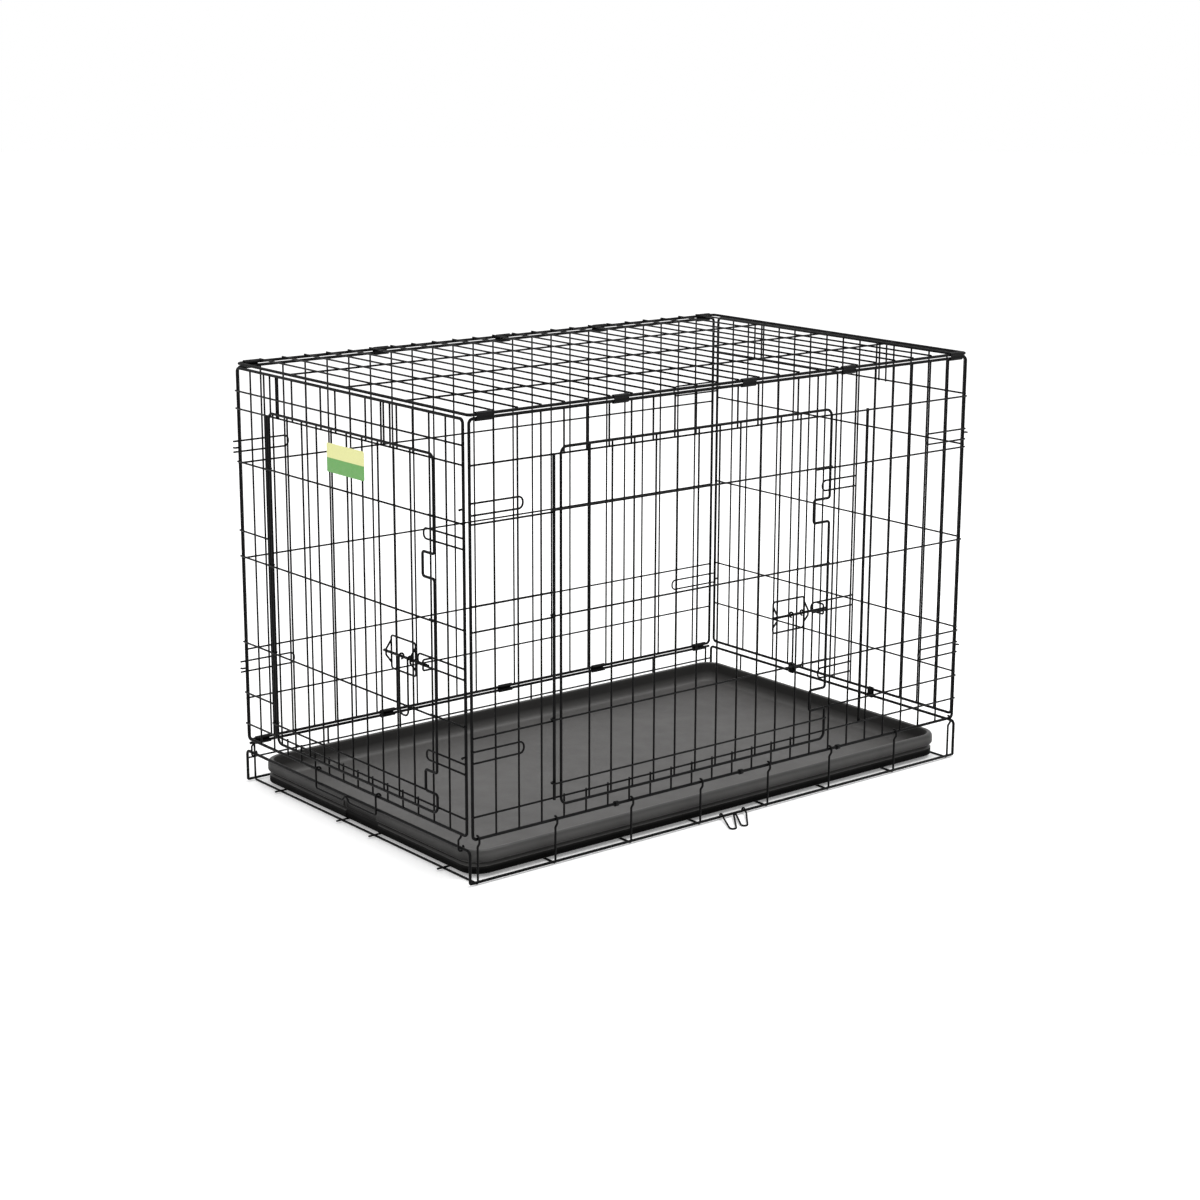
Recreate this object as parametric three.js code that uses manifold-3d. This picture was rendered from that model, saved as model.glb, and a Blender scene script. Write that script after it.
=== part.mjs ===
// A folding wire dog crate with a door in its long side and one in its end.
// Millimetres, +Z up. The side door faces -Y and the end door faces -X.
import * as THREE from "three";
import { mergeVertices } from "three/addons/utils/BufferGeometryUtils.js";
import Module from "manifold-3d";

const wasm = await Module();
wasm.setup();

// ---- Driving sizes: heights are counted from a plane BASE_DROP above the floor ----

const LENGTH = 926; // between the side frames of the long walls
const WIDTH = 577; // between the planes of the long walls
const SIDE_FOOT = 58.5; // height of the long walls' bottom wires
const END_FOOT = 63; // height of the end walls' bottom wires
const WALL_TOP = 628; // height of every wall's top wire
const LEFT_ROD = 43; // height of the base wire that the left end swings on
const BASE_DROP = 7;
const RIGHT_ROD = 52; // the same for the right end
const END_GAP = 5; // from the long walls' ends out to the end walls
const END_INSET = 6.5; // from the long walls' planes in to the end walls' sides

const FRAME_R = 2.2; // frame wires, hinge rods and base hoops
const WIRE_R = 1.4; // grille wires
const DOOR_R = 2; // door frames
const BOLT_R = 2; // slide bolts
const FLOOR_R = 1.6; // wires across the floor
const RUNNER_R = 2; // wires along the floor
const EYE_R = 1.5; // wire of hinge eyes, levers and the pan stop

const FRAME_LAP = 0.8; // how far a grille wire sinks into a frame wire at a weld
const WIRE_LAP = 0.6; // the same between two grille wires
const RUN = 0.5; // running gap round a wire that turns
const STACK_GAP = 0.9; // between two wires held in one clip
const SEAT_GAP = 0.3; // between two pieces that are fixed together

const FRAME_CORNER = 6; // bend at the corners of a wall's frame
const DOOR_CORNER = 10;
const JOG_CORNER = 4;
const SIDE_BAYS = 24; // bays of the long walls
const END_BAYS = 15; // bays of the end walls

const CLIP_LENGTH = 26;
const CLIP_WALL = 1;
const COLLAR_LENGTH = 6;
const COLLAR_TALL = 0.6; // how much taller than wide a collar is
const RING_LENGTH = 8;

const CATCH_HEIGHTS = [510, 174]; // middle of each corner catch
const CATCH_RISE = 16; // between its two wires
const CATCH_REACH = 84; // along the wall
const CATCH_TIP = 10; // past the rear wall's ends; the front wall swings in between the end walls
const HOOK_OUT = 8; // hooks on the end walls, away from the wall
const HOOK_SIDE = 3; // and past its side
const EYE_SIDE = 14; // hinge eyes of the left end, in from its sides
const EYE_NECK = [4.5, 8]; // where an eye's stem leaves the wall's plane, and where it is over the rod's side

const PAN_FOOT = -1.6;
const PAN_RIM = 33;
const PAN_FLOOR = 2.5;
const PAN_WALL = 2.5;
const PAN_LIP = 8; // how far the rolled rim stands out from the wall
const PAN_LIP_HEIGHT = 17;
const PAN_BASE_HEIGHT = 11; // the thickened foot of its wall
const PAN_BASE_INSET = 3; // in from the rim
const PAN_CORNER = 34;
const PAN_SIDE_GAP = 13; // from the long walls' planes
const PAN_END_GAP = 8; // from the long walls' ends
const GRIP_WIDTH = 84;
const GRIP_DEPTH = 5;

// ---- Wires and solids ----------------------------------------------------

const THIN = 1.55; // a wire up to this radius is drawn with four sides, a thicker one with six
const { PI, cos, sin, hypot } = Math;
const v3 = (x, y, z) => new THREE.Vector3(x, y, z);
const ACROSS = v3(1, 0, 0);
const ALONG = v3(0, 1, 0);
const OUT = v3(0, 0, 1);

// A bent wire's centre line, sampled at its own corner points. The section keeps one corner
// towards a fixed facing, so crossing wires meet edge to edge.
class WirePath extends THREE.Curve {
  constructor(points, facing, closed = false) {
    super();
    this.points = points;
    this.facing = facing;
    this.closed = closed;
    this.spans = closed ? points.length : points.length - 1;
  }

  at(i) {
    const n = this.points.length;
    return this.points[this.closed ? (i + n) % n : Math.min(Math.max(i, 0), n - 1)];
  }

  getPointAt(t) {
    return this.at(Math.round(t * this.spans)).clone();
  }

  computeFrenetFrames(segments) {
    const frames = { tangents: [], normals: [], binormals: [] };
    for (let i = 0; i <= segments; i += 1) {
      const before = this.at(i).clone().sub(this.at(i - 1));
      const after = this.at(i + 1).clone().sub(this.at(i));
      if (before.lengthSq() === 0) before.copy(after);
      if (after.lengthSq() === 0) after.copy(before);
      const turn = before.normalize().angleTo(after.normalize());
      const tangent = before.add(after).normalize();
      const side = tangent.clone().cross(this.facing).normalize();
      frames.tangents.push(tangent);
      frames.normals.push(side.clone().cross(tangent));
      frames.binormals.push(side.divideScalar(cos(turn / 2))); // a mitre is wider than the wire
    }
    return frames;
  }
}

const sidesOf = (radius) => (radius > THIN ? 6 : 4);

function section(radius) {
  const sides = sidesOf(radius);
  const corners = [];
  for (let i = 0; i < sides; i += 1) {
    const angle = (2 * PI * i) / sides;
    corners.push(new THREE.Vector2(radius * cos(angle), radius * sin(angle)));
  }
  return new THREE.Shape(corners);
}

function solid(geometry) {
  const bare = geometry.clone();
  bare.deleteAttribute("normal");
  bare.deleteAttribute("uv");
  const merged = mergeVertices(bare, 1e-4);
  return new wasm.Manifold(
    new wasm.Mesh({
      numProp: 3,
      vertProperties: new Float32Array(merged.attributes.position.array),
      triVerts: new Uint32Array(merged.index.array),
    }),
  );
}

function wire(points, radius = WIRE_R, facing = OUT) {
  const extrudePath = new WirePath(points.map((p) => v3(...p)), facing);
  const options = { steps: points.length - 1, bevelEnabled: false, extrudePath };
  return solid(new THREE.ExtrudeGeometry(section(radius), options));
}

function hoop(points, radius, facing = OUT) {
  const path = new WirePath(points.map((p) => v3(...p)), facing, true);
  return solid(new THREE.TubeGeometry(path, points.length, radius, sidesOf(radius), true));
}

const joined = (pieces) => wasm.Manifold.union(pieces.flat(Infinity));

function arc(middle, radius, from, to, steps, point) {
  return Array.from({ length: steps + 1 }, (_, i) => {
    const angle = from + ((to - from) * i) / steps;
    return point(middle[0] + radius * cos(angle), middle[1] + radius * sin(angle));
  });
}

// Bends every corner of a flat outline, given as [u, v] or [u, v, its own radius], at height w.
function rounded(outline, radius, w = 0, closed = true) {
  const points = [];
  outline.forEach((corner, i) => {
    const open = !closed && (i === 0 || i === outline.length - 1);
    const [u, v, own = radius] = corner;
    if (open) {
      points.push([u, v, w]);
      return;
    }
    const here = new THREE.Vector2(u, v);
    const [last, next] = [i + outline.length - 1, i + 1].map((k) => outline[k % outline.length]);
    const back = new THREE.Vector2(last[0], last[1]).sub(here);
    const on = new THREE.Vector2(next[0], next[1]).sub(here);
    const cut = Math.min(own, back.length() / 2.5, on.length() / 2.5);
    const enter = here.clone().addScaledVector(back.normalize(), cut);
    const leave = here.clone().addScaledVector(on.normalize(), cut);
    for (const p of [enter, leave]) points.push([p.x, p.y, w]);
  });
  return points;
}

// ---- Layers, counted outwards from the plane of a wall's frame ------------

const CROSS_W = FRAME_R + WIRE_R - FRAME_LAP; // wires across a wall, laid on its frame
const UP_W = CROSS_W - (2 * WIRE_R - WIRE_LAP); // upright wires, butted to its frame
const ROD_W = CROSS_W + WIRE_R + FRAME_R - FRAME_LAP; // hinge rods, laid on the cross wires
const LOOP_R = FRAME_R + RUN + WIRE_R; // a door's loops round its rod
const DOOR_CROSS_W = ROD_W + LOOP_R;
const DOOR_W = DOOR_CROSS_W - (DOOR_R + WIRE_R - FRAME_LAP);
const DOOR_UP_W = DOOR_CROSS_W - (2 * WIRE_R - WIRE_LAP);
const STAPLE_R = BOLT_R + RUN + WIRE_R; // from the bolt's axis to a wire that goes round it
const BOLT_W = DOOR_UP_W + WIRE_R + RUN + WIRE_R + STAPLE_R; // a lever's eyes clear the uprights
const STAPLE_W = BOLT_W + STAPLE_R;
const STACK = 2 * FRAME_R + STACK_GAP;
const ROOF = WALL_TOP + STACK;
const REAR_ROD = SIDE_FOOT - STACK;
const SIDE_PITCH = LENGTH / SIDE_BAYS;
const END_WIDTH = WIDTH - 2 * END_INSET;
const END_PITCH = END_WIDTH / END_BAYS;
const CUT_END = FRAME_R - SEAT_GAP; // how far a lapped wire runs past the wire under it

// ---- Pieces of a wall, in its own frame: u across, v up, w outwards -------

const across = (from, to, v, w = CROSS_W, radius = WIRE_R) => wire([[from, v, w], [to, v, w]], radius);
const upright = (u, from, to, w = UP_W, radius = WIRE_R) => wire([[u, from, w], [u, to, w]], radius);

function wallFrame(left, right, foot) {
  const outline = [[left, foot], [right, foot], [right, WALL_TOP], [left, WALL_TOP]];
  return hoop(rounded(outline, FRAME_CORNER), FRAME_R);
}

// A long U of wire laid on a wall, closed at the u given as turn.
function longU(turn, end, middle, rise, w = CROSS_W) {
  const v = rise / 2;
  const outline = [[end, middle - v], [turn, middle - v], [turn, middle + v], [end, middle + v]];
  return wire(rounded(outline, v * 0.9, w, false));
}

function cornerCatches(tip) {
  return CATCH_HEIGHTS.flatMap((height) => [
    longU(CATCH_REACH, -tip, height, CATCH_RISE),
    longU(LENGTH - CATCH_REACH, LENGTH + tip, height, CATCH_RISE),
  ]);
}

function endHooks(name) {
  const sides = [[END_INSET, -1], [WIDTH - END_INSET, 1]];
  const places = CATCH_HEIGHTS.flatMap((v) => sides.map(([u, way]) => [u, v, way]));
  return places.map(([u, v, way], i) => {
    const tip = u + way * (FRAME_R + HOOK_SIDE - WIRE_R);
    const path = [[u, v, FRAME_R + SEAT_GAP], [u, v, HOOK_OUT], [tip, v, HOOK_OUT]];
    return mesh(`${name}_${i + 1}`, wire(path, WIRE_R, ALONG));
  });
}

// The staple round a bolt that slides along u: its feet stand on the wire plane at foot.
function staple(u, v, foot, half, splay = 0) {
  return wire([
    [u, v - half - splay, foot],
    [u, v - half, STAPLE_W],
    [u, v + half, STAPLE_W],
    [u, v + half + splay, foot],
  ], WIRE_R, ACROSS);
}

// ---- The two doors and their doorways --------------------------------------

const SIDE_DOOR = {
  rod: 133.5,
  left: 144,
  right: 640,
  foot: 81,
  top: 577.5,
  crosses: [113.5, 204.2, 349.5, 494],
  uprights: [5, 6, 7, 8, 9, 10, 11, 12, 13, 14, 15].map((k) => k * SIDE_PITCH),
  jogs: [[129, 160], [412.5, 447]],
  jogDepth: 31,
  rails: [91, 568],
  bolt: 284.5,
  boltFrom: 526,
  boltTo: 630,
  plate: [530, 591],
  lever: [562, 583],
  keeper: 622,
  keeperEnd: 612,
  stops: [[465, 15], [182, 15]],
  stopEnd: 629,
  stopRoot: 18 * SIDE_PITCH + CUT_END,
};

const END_DOOR_FIRST = 115.3; // its first upright
const END_DOOR_PITCH = 38.35;

const END_DOOR = {
  rod: 96,
  left: 103.5,
  right: 513,
  foot: 81,
  top: 575,
  crosses: [110, 218.4, 350.1, 492.7],
  uprights: [0, 1, 2, 3, 4, 5, 6, 7, 8, 9].map((k) => END_DOOR_FIRST + k * END_DOOR_PITCH),
  jogs: [[108, 138], [407, 441]],
  jogDepth: 27,
  rails: [88, 568.5],
  bolt: 288.5,
  boltFrom: 401,
  boltTo: 507,
  plate: [412, 470],
  lever: [443, 463.5],
  keeper: 500,
  keeperEnd: 465,
  stops: [[464.5, 14.5], [157.5, 14]],
  stopEnd: 483,
  stopRoot: WIDTH - END_INSET + CUT_END,
};

const PLATE_LOW = 24; // a latch plate's lower edge, below its bolt
const PLATE_HIGH = 22.5;
const STAPLE_SPLAY = 12;
const LEVER_DROP = 80;
const KEEPER_RISE = 15;

function door(spec) {
  const { left, right, foot, top } = spec;
  const outline = [[left, foot], [right, foot]];
  for (const [low, high] of spec.jogs) {
    const inner = right - spec.jogDepth;
    const turns = [[right, low], [inner, low], [inner, high], [right, high]];
    outline.push(...turns.map((turn) => [...turn, JOG_CORNER]));
  }
  outline.push([right, top], [left, top]);
  const frame = hoop(rounded(outline, DOOR_CORNER, DOOR_W), DOOR_R);
  const bars = spec.uprights.map((u) => upright(u, foot, top, DOOR_UP_W));
  const crosses = spec.crosses.map((v) => {
    const loop = arc([spec.rod, ROD_W], LOOP_R, PI * 1.75, PI / 2, 5, (u, w) => [u, v, w]);
    return wire([...loop, [right + DOOR_R - 0.3, v, DOOR_CROSS_W]], WIRE_R, ALONG);
  });
  const [from, to] = spec.plate;
  const low = spec.bolt - PLATE_LOW;
  const high = spec.bolt + PLATE_HIGH;
  const plate = hoop(rounded([[from, low], [to, low], [to, high], [from, high]], 4, DOOR_CROSS_W), WIRE_R);
  const staples = spec.plate.map((u) => staple(u, spec.bolt, DOOR_CROSS_W, STAPLE_R, STAPLE_SPLAY));
  return joined([frame, bars, crosses, plate, staples]);
}

// What the wall's panel holds for its door: stops behind the door's edge, and the keeper's arm.
function doorway(spec) {
  const stops = spec.stops.map(([v, rise]) => longU(spec.stopEnd, spec.stopRoot, v, rise));
  return [stops, longU(spec.keeperEnd, spec.stopRoot, spec.bolt, KEEPER_RISE)];
}

// The rod that a door hangs on, between the two rails of its doorway.
function doorRod(spec) {
  const [low, high] = spec.rails;
  return upright(spec.rod, low + WIRE_R, high - WIRE_R, ROD_W, FRAME_R);
}

// The staple that takes the bolt's end, standing on the keeper's arm.
function keeper(spec) {
  return staple(spec.keeper, spec.bolt, CROSS_W + WIRE_R + SEAT_GAP, KEEPER_RISE / 2);
}

function bolt(spec) {
  return across(spec.boltFrom, spec.boltTo, spec.bolt, BOLT_W, BOLT_R);
}

// A U that hangs from the bolt by an eye at each end.
function lever(spec) {
  const [left, right] = spec.lever;
  const top = spec.bolt;
  const foot = top - LEVER_DROP;
  const eyes = spec.lever.map((u) => {
    return wire(arc([BOLT_W, top], STAPLE_R, 0, PI * 1.5, 6, (w, v) => [u, v, w]), WIRE_R, ACROSS);
  });
  const outline = [[left, top], [left, foot], [right, foot], [right, top]];
  return joined([eyes, wire(rounded(outline, (right - left) * 0.4, BOLT_W + STAPLE_R, false))]);
}

// ---- Walls ------------------------------------------------------------------

function frontPanel() {
  const door = SIDE_DOOR;
  const [low, high] = door.rails;
  const pieces = [wallFrame(0, LENGTH, SIDE_FOOT), doorway(door), cornerCatches(CUT_END)];
  for (let k = 1; k < SIDE_BAYS; k += 1) {
    const u = k * SIDE_PITCH;
    const inDoorway = u > door.rod && k < 16;
    if (inDoorway) {
      pieces.push(upright(u, SIDE_FOOT, low + CUT_END), upright(u, high - CUT_END, WALL_TOP));
    } else {
      pieces.push(upright(u, SIDE_FOOT, WALL_TOP));
    }
  }
  const leftEnd = -CUT_END;
  const rightEnd = LENGTH + CUT_END;
  for (const v of door.rails) pieces.push(across(leftEnd, rightEnd, v));
  for (const v of [200.6, 345.7, 380.5, 490]) pieces.push(across(leftEnd, door.rod - FRAME_R, v));
  for (const v of [128, 200.6, 345.7, 490]) {
    pieces.push(across(16 * SIDE_PITCH - CUT_END, rightEnd, v));
  }
  pieces.push(upright(720, low - CUT_END, high + CUT_END, 0, FRAME_R));
  return joined(pieces);
}

function rearPanel() {
  const pieces = [wallFrame(0, LENGTH, SIDE_FOOT), cornerCatches(CATCH_TIP)];
  for (let k = 1; k < SIDE_BAYS; k += 1) pieces.push(upright(k * SIDE_PITCH, SIDE_FOOT, WALL_TOP));
  for (const v of [124, 200, 341, 485]) pieces.push(across(-CUT_END, LENGTH + CUT_END, v));
  return joined(pieces);
}

const END_LEFT = END_INSET;
const END_RIGHT = WIDTH - END_INSET;
const PRONGS = [98, 114.5, 389, 404]; // short uprights under an end wall's top wire, from the rear

function leftEndPanel() {
  const door = END_DOOR;
  const [low, high] = door.rails;
  const pieces = [wallFrame(END_LEFT, END_RIGHT, END_FOOT), doorway(door)];
  for (let k = 1; k < END_BAYS; k += 1) {
    const u = END_INSET + k * END_PITCH;
    if (u > door.rod && k < 13) {
      pieces.push(upright(u, END_FOOT, low + CUT_END), upright(u, high - CUT_END, WALL_TOP));
    } else {
      pieces.push(upright(u, END_FOOT, WALL_TOP));
    }
  }
  const leftEnd = END_LEFT - CUT_END;
  const rightEnd = END_RIGHT + CUT_END;
  for (const v of [low, high, 594.5]) pieces.push(across(leftEnd, rightEnd, v));
  for (const v of [136.5, 215.1, 346.8, 386, 489.4]) pieces.push(across(leftEnd, door.rod - FRAME_R, v));
  for (const v of [216, 348.6, 490.8]) {
    pieces.push(across(END_INSET + 13 * END_PITCH - CUT_END, rightEnd, v));
  }
  for (const u of PRONGS) pieces.push(upright(u, high - CUT_END, WALL_TOP));
  return joined(pieces);
}

// The left end swings on the base's left wire by an eye under each of its sides.
function hingeEyes() {
  const radius = FRAME_R + RUN + EYE_R;
  const [out, over] = EYE_NECK.map((down) => END_FOOT - down);
  return [END_LEFT + EYE_SIDE, END_RIGHT - EYE_SIDE].map((u, i) => {
    const ring = arc([0, LEFT_ROD], radius, 0, -PI * 1.25, 5, (w, v) => [u, v, w]);
    const neck = [[u, END_FOOT - FRAME_R, 0], [u, out, 0], [u, over, radius]];
    return mesh(`left_end_eye_${i + 1}`, wire([...neck, ...ring], EYE_R, ACROSS));
  });
}

function rightEndPanel() {
  const pieces = [wallFrame(END_LEFT, END_RIGHT, END_FOOT)];
  for (let k = 1; k < END_BAYS; k += 1) {
    pieces.push(upright(END_INSET + k * END_PITCH, END_FOOT, WALL_TOP));
  }
  for (const v of [131, 203, 347, 492, 570]) {
    pieces.push(across(END_LEFT - CUT_END, END_RIGHT + CUT_END, v));
  }
  for (const u of PRONGS) pieces.push(upright(WIDTH - u, 570 - CUT_END, WALL_TOP));
  return joined(pieces);
}

function topPanel() {
  const outline = [[0, 0], [LENGTH, 0], [LENGTH, WIDTH], [0, WIDTH]];
  const pieces = [hoop(rounded(outline, FRAME_CORNER), FRAME_R)];
  for (let k = 1; k < SIDE_BAYS; k += 1) {
    pieces.push(upright(k * SIDE_PITCH, -CUT_END, WIDTH + CUT_END, CROSS_W));
  }
  for (let k = 1; k < 4; k += 1) pieces.push(across(0, LENGTH, (k * WIDTH) / 4, UP_W));
  return joined(pieces);
}

// A sleeve round two wires a given distance apart, with its length along u.
function sleeve(length, apart, innerRadius = FRAME_R + RUN) {
  const stadium = (radius) => {
    const half = apart / 2;
    const path = new THREE.Path();
    path.absarc(0, half, radius, 0, PI, false);
    path.absarc(0, -half, radius, PI, 2 * PI, false);
    return path.getPoints(2); // four segments to a half circle
  };
  const shape = new THREE.Shape(stadium(innerRadius + CLIP_WALL));
  shape.holes.push(new THREE.Path(stadium(innerRadius)));
  const geometry = new THREE.ExtrudeGeometry(shape, { depth: length, bevelEnabled: false });
  geometry.translate(0, 0, -length / 2);
  geometry.rotateY(PI / 2);
  return solid(geometry);
}

// ---- Base -------------------------------------------------------------------

const HALF_L = LENGTH / 2;
const HALF_W = WIDTH / 2;
const FLOOR_HALF = FLOOR_R * cos(PI / 6); // half of a floor wire's thickness, lying on its flat
const FLOOR_Z = FLOOR_HALF - BASE_DROP;
const RUNNER_Z = FLOOR_Z + FLOOR_HALF + RUNNER_R - WIRE_LAP; // outer wires along the floor
const INNER_Z = FLOOR_Z + FLOOR_HALF + WIRE_R - WIRE_LAP; // inner ones
const END_X = HALF_L + END_GAP;
const STEMS = [0.2, 3.62, 7.12, 10.47, 13.88, 17.12, 20.7, 23.8]; // in bays of the long walls
const RUNNERS = [-211, -42, 42, 211]; // wires along the floor, across from the middle
const SIDE_WIRE_Z = 30; // a wire along the stems of the rear side
const SIDE_WIRE_Y = HALF_W + FLOOR_HALF + WIRE_R - 0.5;

// A wire across the floor: bent up at both sides, with a hook round the front wall's wire.
function floorWire(x) {
  const radius = FRAME_R + RUN + FLOOR_R;
  const eye = arc([-HALF_W, SIDE_FOOT], radius, -PI * 1.5, -PI / 2, 4, (y, z) => [x, y, z]);
  const foot = [[x, -HALF_W, FLOOR_Z], [x, HALF_W, FLOOR_Z]];
  return wire([...eye, ...foot, [x, HALF_W, REAR_ROD]], FLOOR_R, ACROSS);
}

function endHoop(x, height) {
  const outline = [[-HALF_W, RUNNER_Z], [-HALF_W, height], [HALF_W, height], [HALF_W, RUNNER_Z]];
  const points = rounded(outline, FRAME_CORNER, 0, false).map(([y, z]) => [x, y, z]);
  return wire(points, FRAME_R, ACROSS);
}

function baseFrame() {
  const pieces = STEMS.map((bay) => floorWire(bay * SIDE_PITCH - HALF_L));
  for (const y of [-HALF_W, HALF_W]) {
    pieces.push(wire([[-END_X, y, RUNNER_Z], [END_X, y, RUNNER_Z]], RUNNER_R));
  }
  const sideWire = [-END_X, END_X].map((x) => [x, SIDE_WIRE_Y, SIDE_WIRE_Z]);
  pieces.push(wire(sideWire, WIRE_R, ALONG));
  RUNNERS.forEach((y, i) => {
    const points = [[-END_X, y, INNER_Z], [END_X, y, INNER_Z]];
    const bendsUp = i === 0 || i === RUNNERS.length - 1;
    if (bendsUp) points.push([END_X, y, RIGHT_ROD]);
    pieces.push(wire(points, WIRE_R, bendsUp ? ALONG : OUT));
  });
  pieces.push(wire([[-HALF_L, HALF_W, REAR_ROD], [HALF_L, HALF_W, REAR_ROD]], FRAME_R));
  pieces.push(endHoop(-END_X, LEFT_ROD), endHoop(END_X, RIGHT_ROD));
  return joined(pieces);
}

// ---- Pan ----------------------------------------------------------------------

function roundedSlab(length, width, corner, from, to) {
  const x = length / 2;
  const y = width / 2;
  const shape = new THREE.Shape();
  shape.moveTo(-x + corner, -y);
  shape.lineTo(x - corner, -y);
  shape.absarc(x - corner, -y + corner, corner, -PI / 2, 0);
  shape.absarc(x - corner, y - corner, corner, 0, PI / 2);
  shape.absarc(-x + corner, y - corner, corner, PI / 2, PI);
  shape.absarc(-x + corner, -y + corner, corner, PI, 1.5 * PI);
  const options = { depth: to - from, bevelEnabled: false, curveSegments: 5 };
  const geometry = new THREE.ExtrudeGeometry(shape, options);
  geometry.translate(0, 0, from);
  return solid(geometry);
}

function box(low, high) {
  const size = high.map((value, i) => value - low[i]);
  const geometry = new THREE.BoxGeometry(...size);
  geometry.translate(...low.map((value, i) => value + size[i] / 2));
  return solid(geometry);
}

function pan() {
  const length = LENGTH - 2 * PAN_END_GAP;
  const width = WIDTH - 2 * PAN_SIDE_GAP;
  const wallIn = 2 * PAN_LIP;
  const roomIn = wallIn + 2 * PAN_WALL;
  const lip = roundedSlab(length, width, PAN_CORNER, PAN_RIM - PAN_LIP_HEIGHT, PAN_RIM);
  const tub = roundedSlab(length - wallIn, width - wallIn, PAN_CORNER - PAN_LIP, PAN_FOOT, PAN_RIM - 1);
  const roomCorner = PAN_CORNER - PAN_LIP - PAN_WALL;
  const room = roundedSlab(length - roomIn, width - roomIn, roomCorner, PAN_FOOT + PAN_FLOOR, PAN_RIM + 1);
  const baseIn = 2 * PAN_BASE_INSET;
  const baseCorner = PAN_CORNER - PAN_BASE_INSET;
  const baseTop = PAN_FOOT + PAN_BASE_HEIGHT;
  const base = roundedSlab(length - baseIn, width - baseIn, baseCorner, PAN_FOOT, baseTop);
  const end = -length / 2;
  const grip = box([end - 1, -GRIP_WIDTH / 2, PAN_FOOT - 1], [end + GRIP_DEPTH, GRIP_WIDTH / 2, PAN_RIM - 6]);
  return lip.add(tub).add(base).subtract(room).subtract(grip);
}

// ---- Small wire pieces ----------------------------------------------------------

const STOP_LEGS = [201, 357]; // across the left end wall
const STOP_FOOT = PAN_RIM + 1.5 + EYE_R;
const THUMB_RISE = 9;
const THUMB_HALF = 9;

// Hangs from the left end wall's bottom wire, with a thumb bend in the middle.
function panStop() {
  const radius = FRAME_R + RUN + EYE_R;
  const [left, right] = STOP_LEGS;
  const middle = (left + right) / 2;
  const eye = (u, flip) => {
    const ring = arc([0, END_FOOT], radius, -PI * 1.25, 0, 5, (w, v) => [u, v, w]);
    return wire(flip ? ring.reverse() : ring, EYE_R, ACROSS);
  };
  const bar = [
    [left, END_FOOT],
    [left, STOP_FOOT],
    [middle - THUMB_HALF, STOP_FOOT],
    [middle, STOP_FOOT + THUMB_RISE],
    [middle + THUMB_HALF, STOP_FOOT],
    [right, STOP_FOOT],
    [right, END_FOOT],
  ];
  return joined([eye(left, false), eye(right, true), wire(rounded(bar, 4, radius, false), EYE_R)]);
}

const CATCH_TOPS = [-17.5, 4.5, 26]; // its two eyes and the bend between them
const CATCH_OUT = 42; // how far it lies out from its wire
const CATCH_SKEW = 29; // and to the left
const CATCH_HALF = 6.5; // half the width of each of its two bends on the floor

// A W of wire hooked over the base's front wire, lying out on the floor.
function storageCatch() {
  const radius = RUNNER_R + RUN + WIRE_R;
  const [left, middle, right] = CATCH_TOPS;
  const foot = WIRE_R + 0.1 - BASE_DROP;
  const hook = (x) => arc([-HALF_W, RUNNER_Z], radius, -PI / 8, PI, 5, (y, z) => [x, y, z]);
  const leg = (x, share) => [
    x - CATCH_SKEW * share,
    -HALF_W - radius - CATCH_OUT * share,
    RUNNER_Z - (RUNNER_Z - foot) * share,
  ];
  const bend = (x) => [[x - CATCH_HALF, 0.9], [x - 2, 1], [x + 2, 1], [x + CATCH_HALF, 0.9]];
  const bends = [(left + middle) / 2, (middle + right) / 2].map((x) => bend(x).map((p) => leg(...p)));
  const peak = [leg(middle - 1.5, 0.02), leg(middle + 1.5, 0.02)];
  const path = [...hook(left), ...bends[0], ...peak, ...bends[1], ...hook(right).reverse()];
  return wire(path, WIRE_R, v3(1, 0, 1).normalize());
}

const CARD = { u: 260, v: 514, width: 93, height: 41, thick: 0.8 };

function labelCard() {
  const w = DOOR_UP_W + WIRE_R + SEAT_GAP;
  return box([CARD.u, CARD.v, w], [CARD.u + CARD.width, CARD.v + CARD.height, w + CARD.thick]);
}

// ---- The scene -------------------------------------------------------------------

const black = { color: 0x15151a, roughness: 0.42, metalness: 0.25 };
const plastic = { color: 0x35353a, roughness: 0.6, metalness: 0 };
const paper = { color: 0xf2ecb0, roughness: 0.8, metalness: 0 };

function mesh(name, body, look = black) {
  const { vertProperties, triVerts, numProp } = body.getMesh();
  const positions = new Float32Array((vertProperties.length / numProp) * 3);
  for (let i = 0; i < positions.length / 3; i += 1) {
    positions.set(vertProperties.subarray(i * numProp, i * numProp + 3), i * 3);
  }
  const geometry = new THREE.BufferGeometry();
  geometry.setAttribute("position", new THREE.BufferAttribute(positions, 3));
  geometry.setIndex(new THREE.BufferAttribute(new Uint32Array(triVerts), 1));
  const made = new THREE.Mesh(geometry, new THREE.MeshStandardMaterial(look));
  made.name = name;
  return made;
}

function placed(item, x, y, z) {
  item.position.set(x, y, z);
  return item;
}

// A wall's own frame has u to the right as seen from outside, v up and w outwards.
function wall(turn, x, y, ...items) {
  const upright = new THREE.Group();
  upright.rotation.x = PI / 2;
  upright.add(...items);
  const group = placed(new THREE.Group(), x, y, 0);
  group.rotation.z = turn;
  group.add(upright);
  return group;
}

const CLIP_AT = [0.6, 6.5, 12.5, 17.56, 23.4].map((bay) => bay * SIDE_PITCH); // from the left, seen
const COLLAR_AT = [247, 481, 677]; // from the front
const RING_AT = [184, 372]; // across the right end wall

// Sleeves along a wall, named by their order along it.
function sleeves(name, places, height, length, apart) {
  return places.map((u, i) => placed(mesh(`${name}_${i + 1}`, sleeve(length, apart)), u, height, 0));
}

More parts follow.
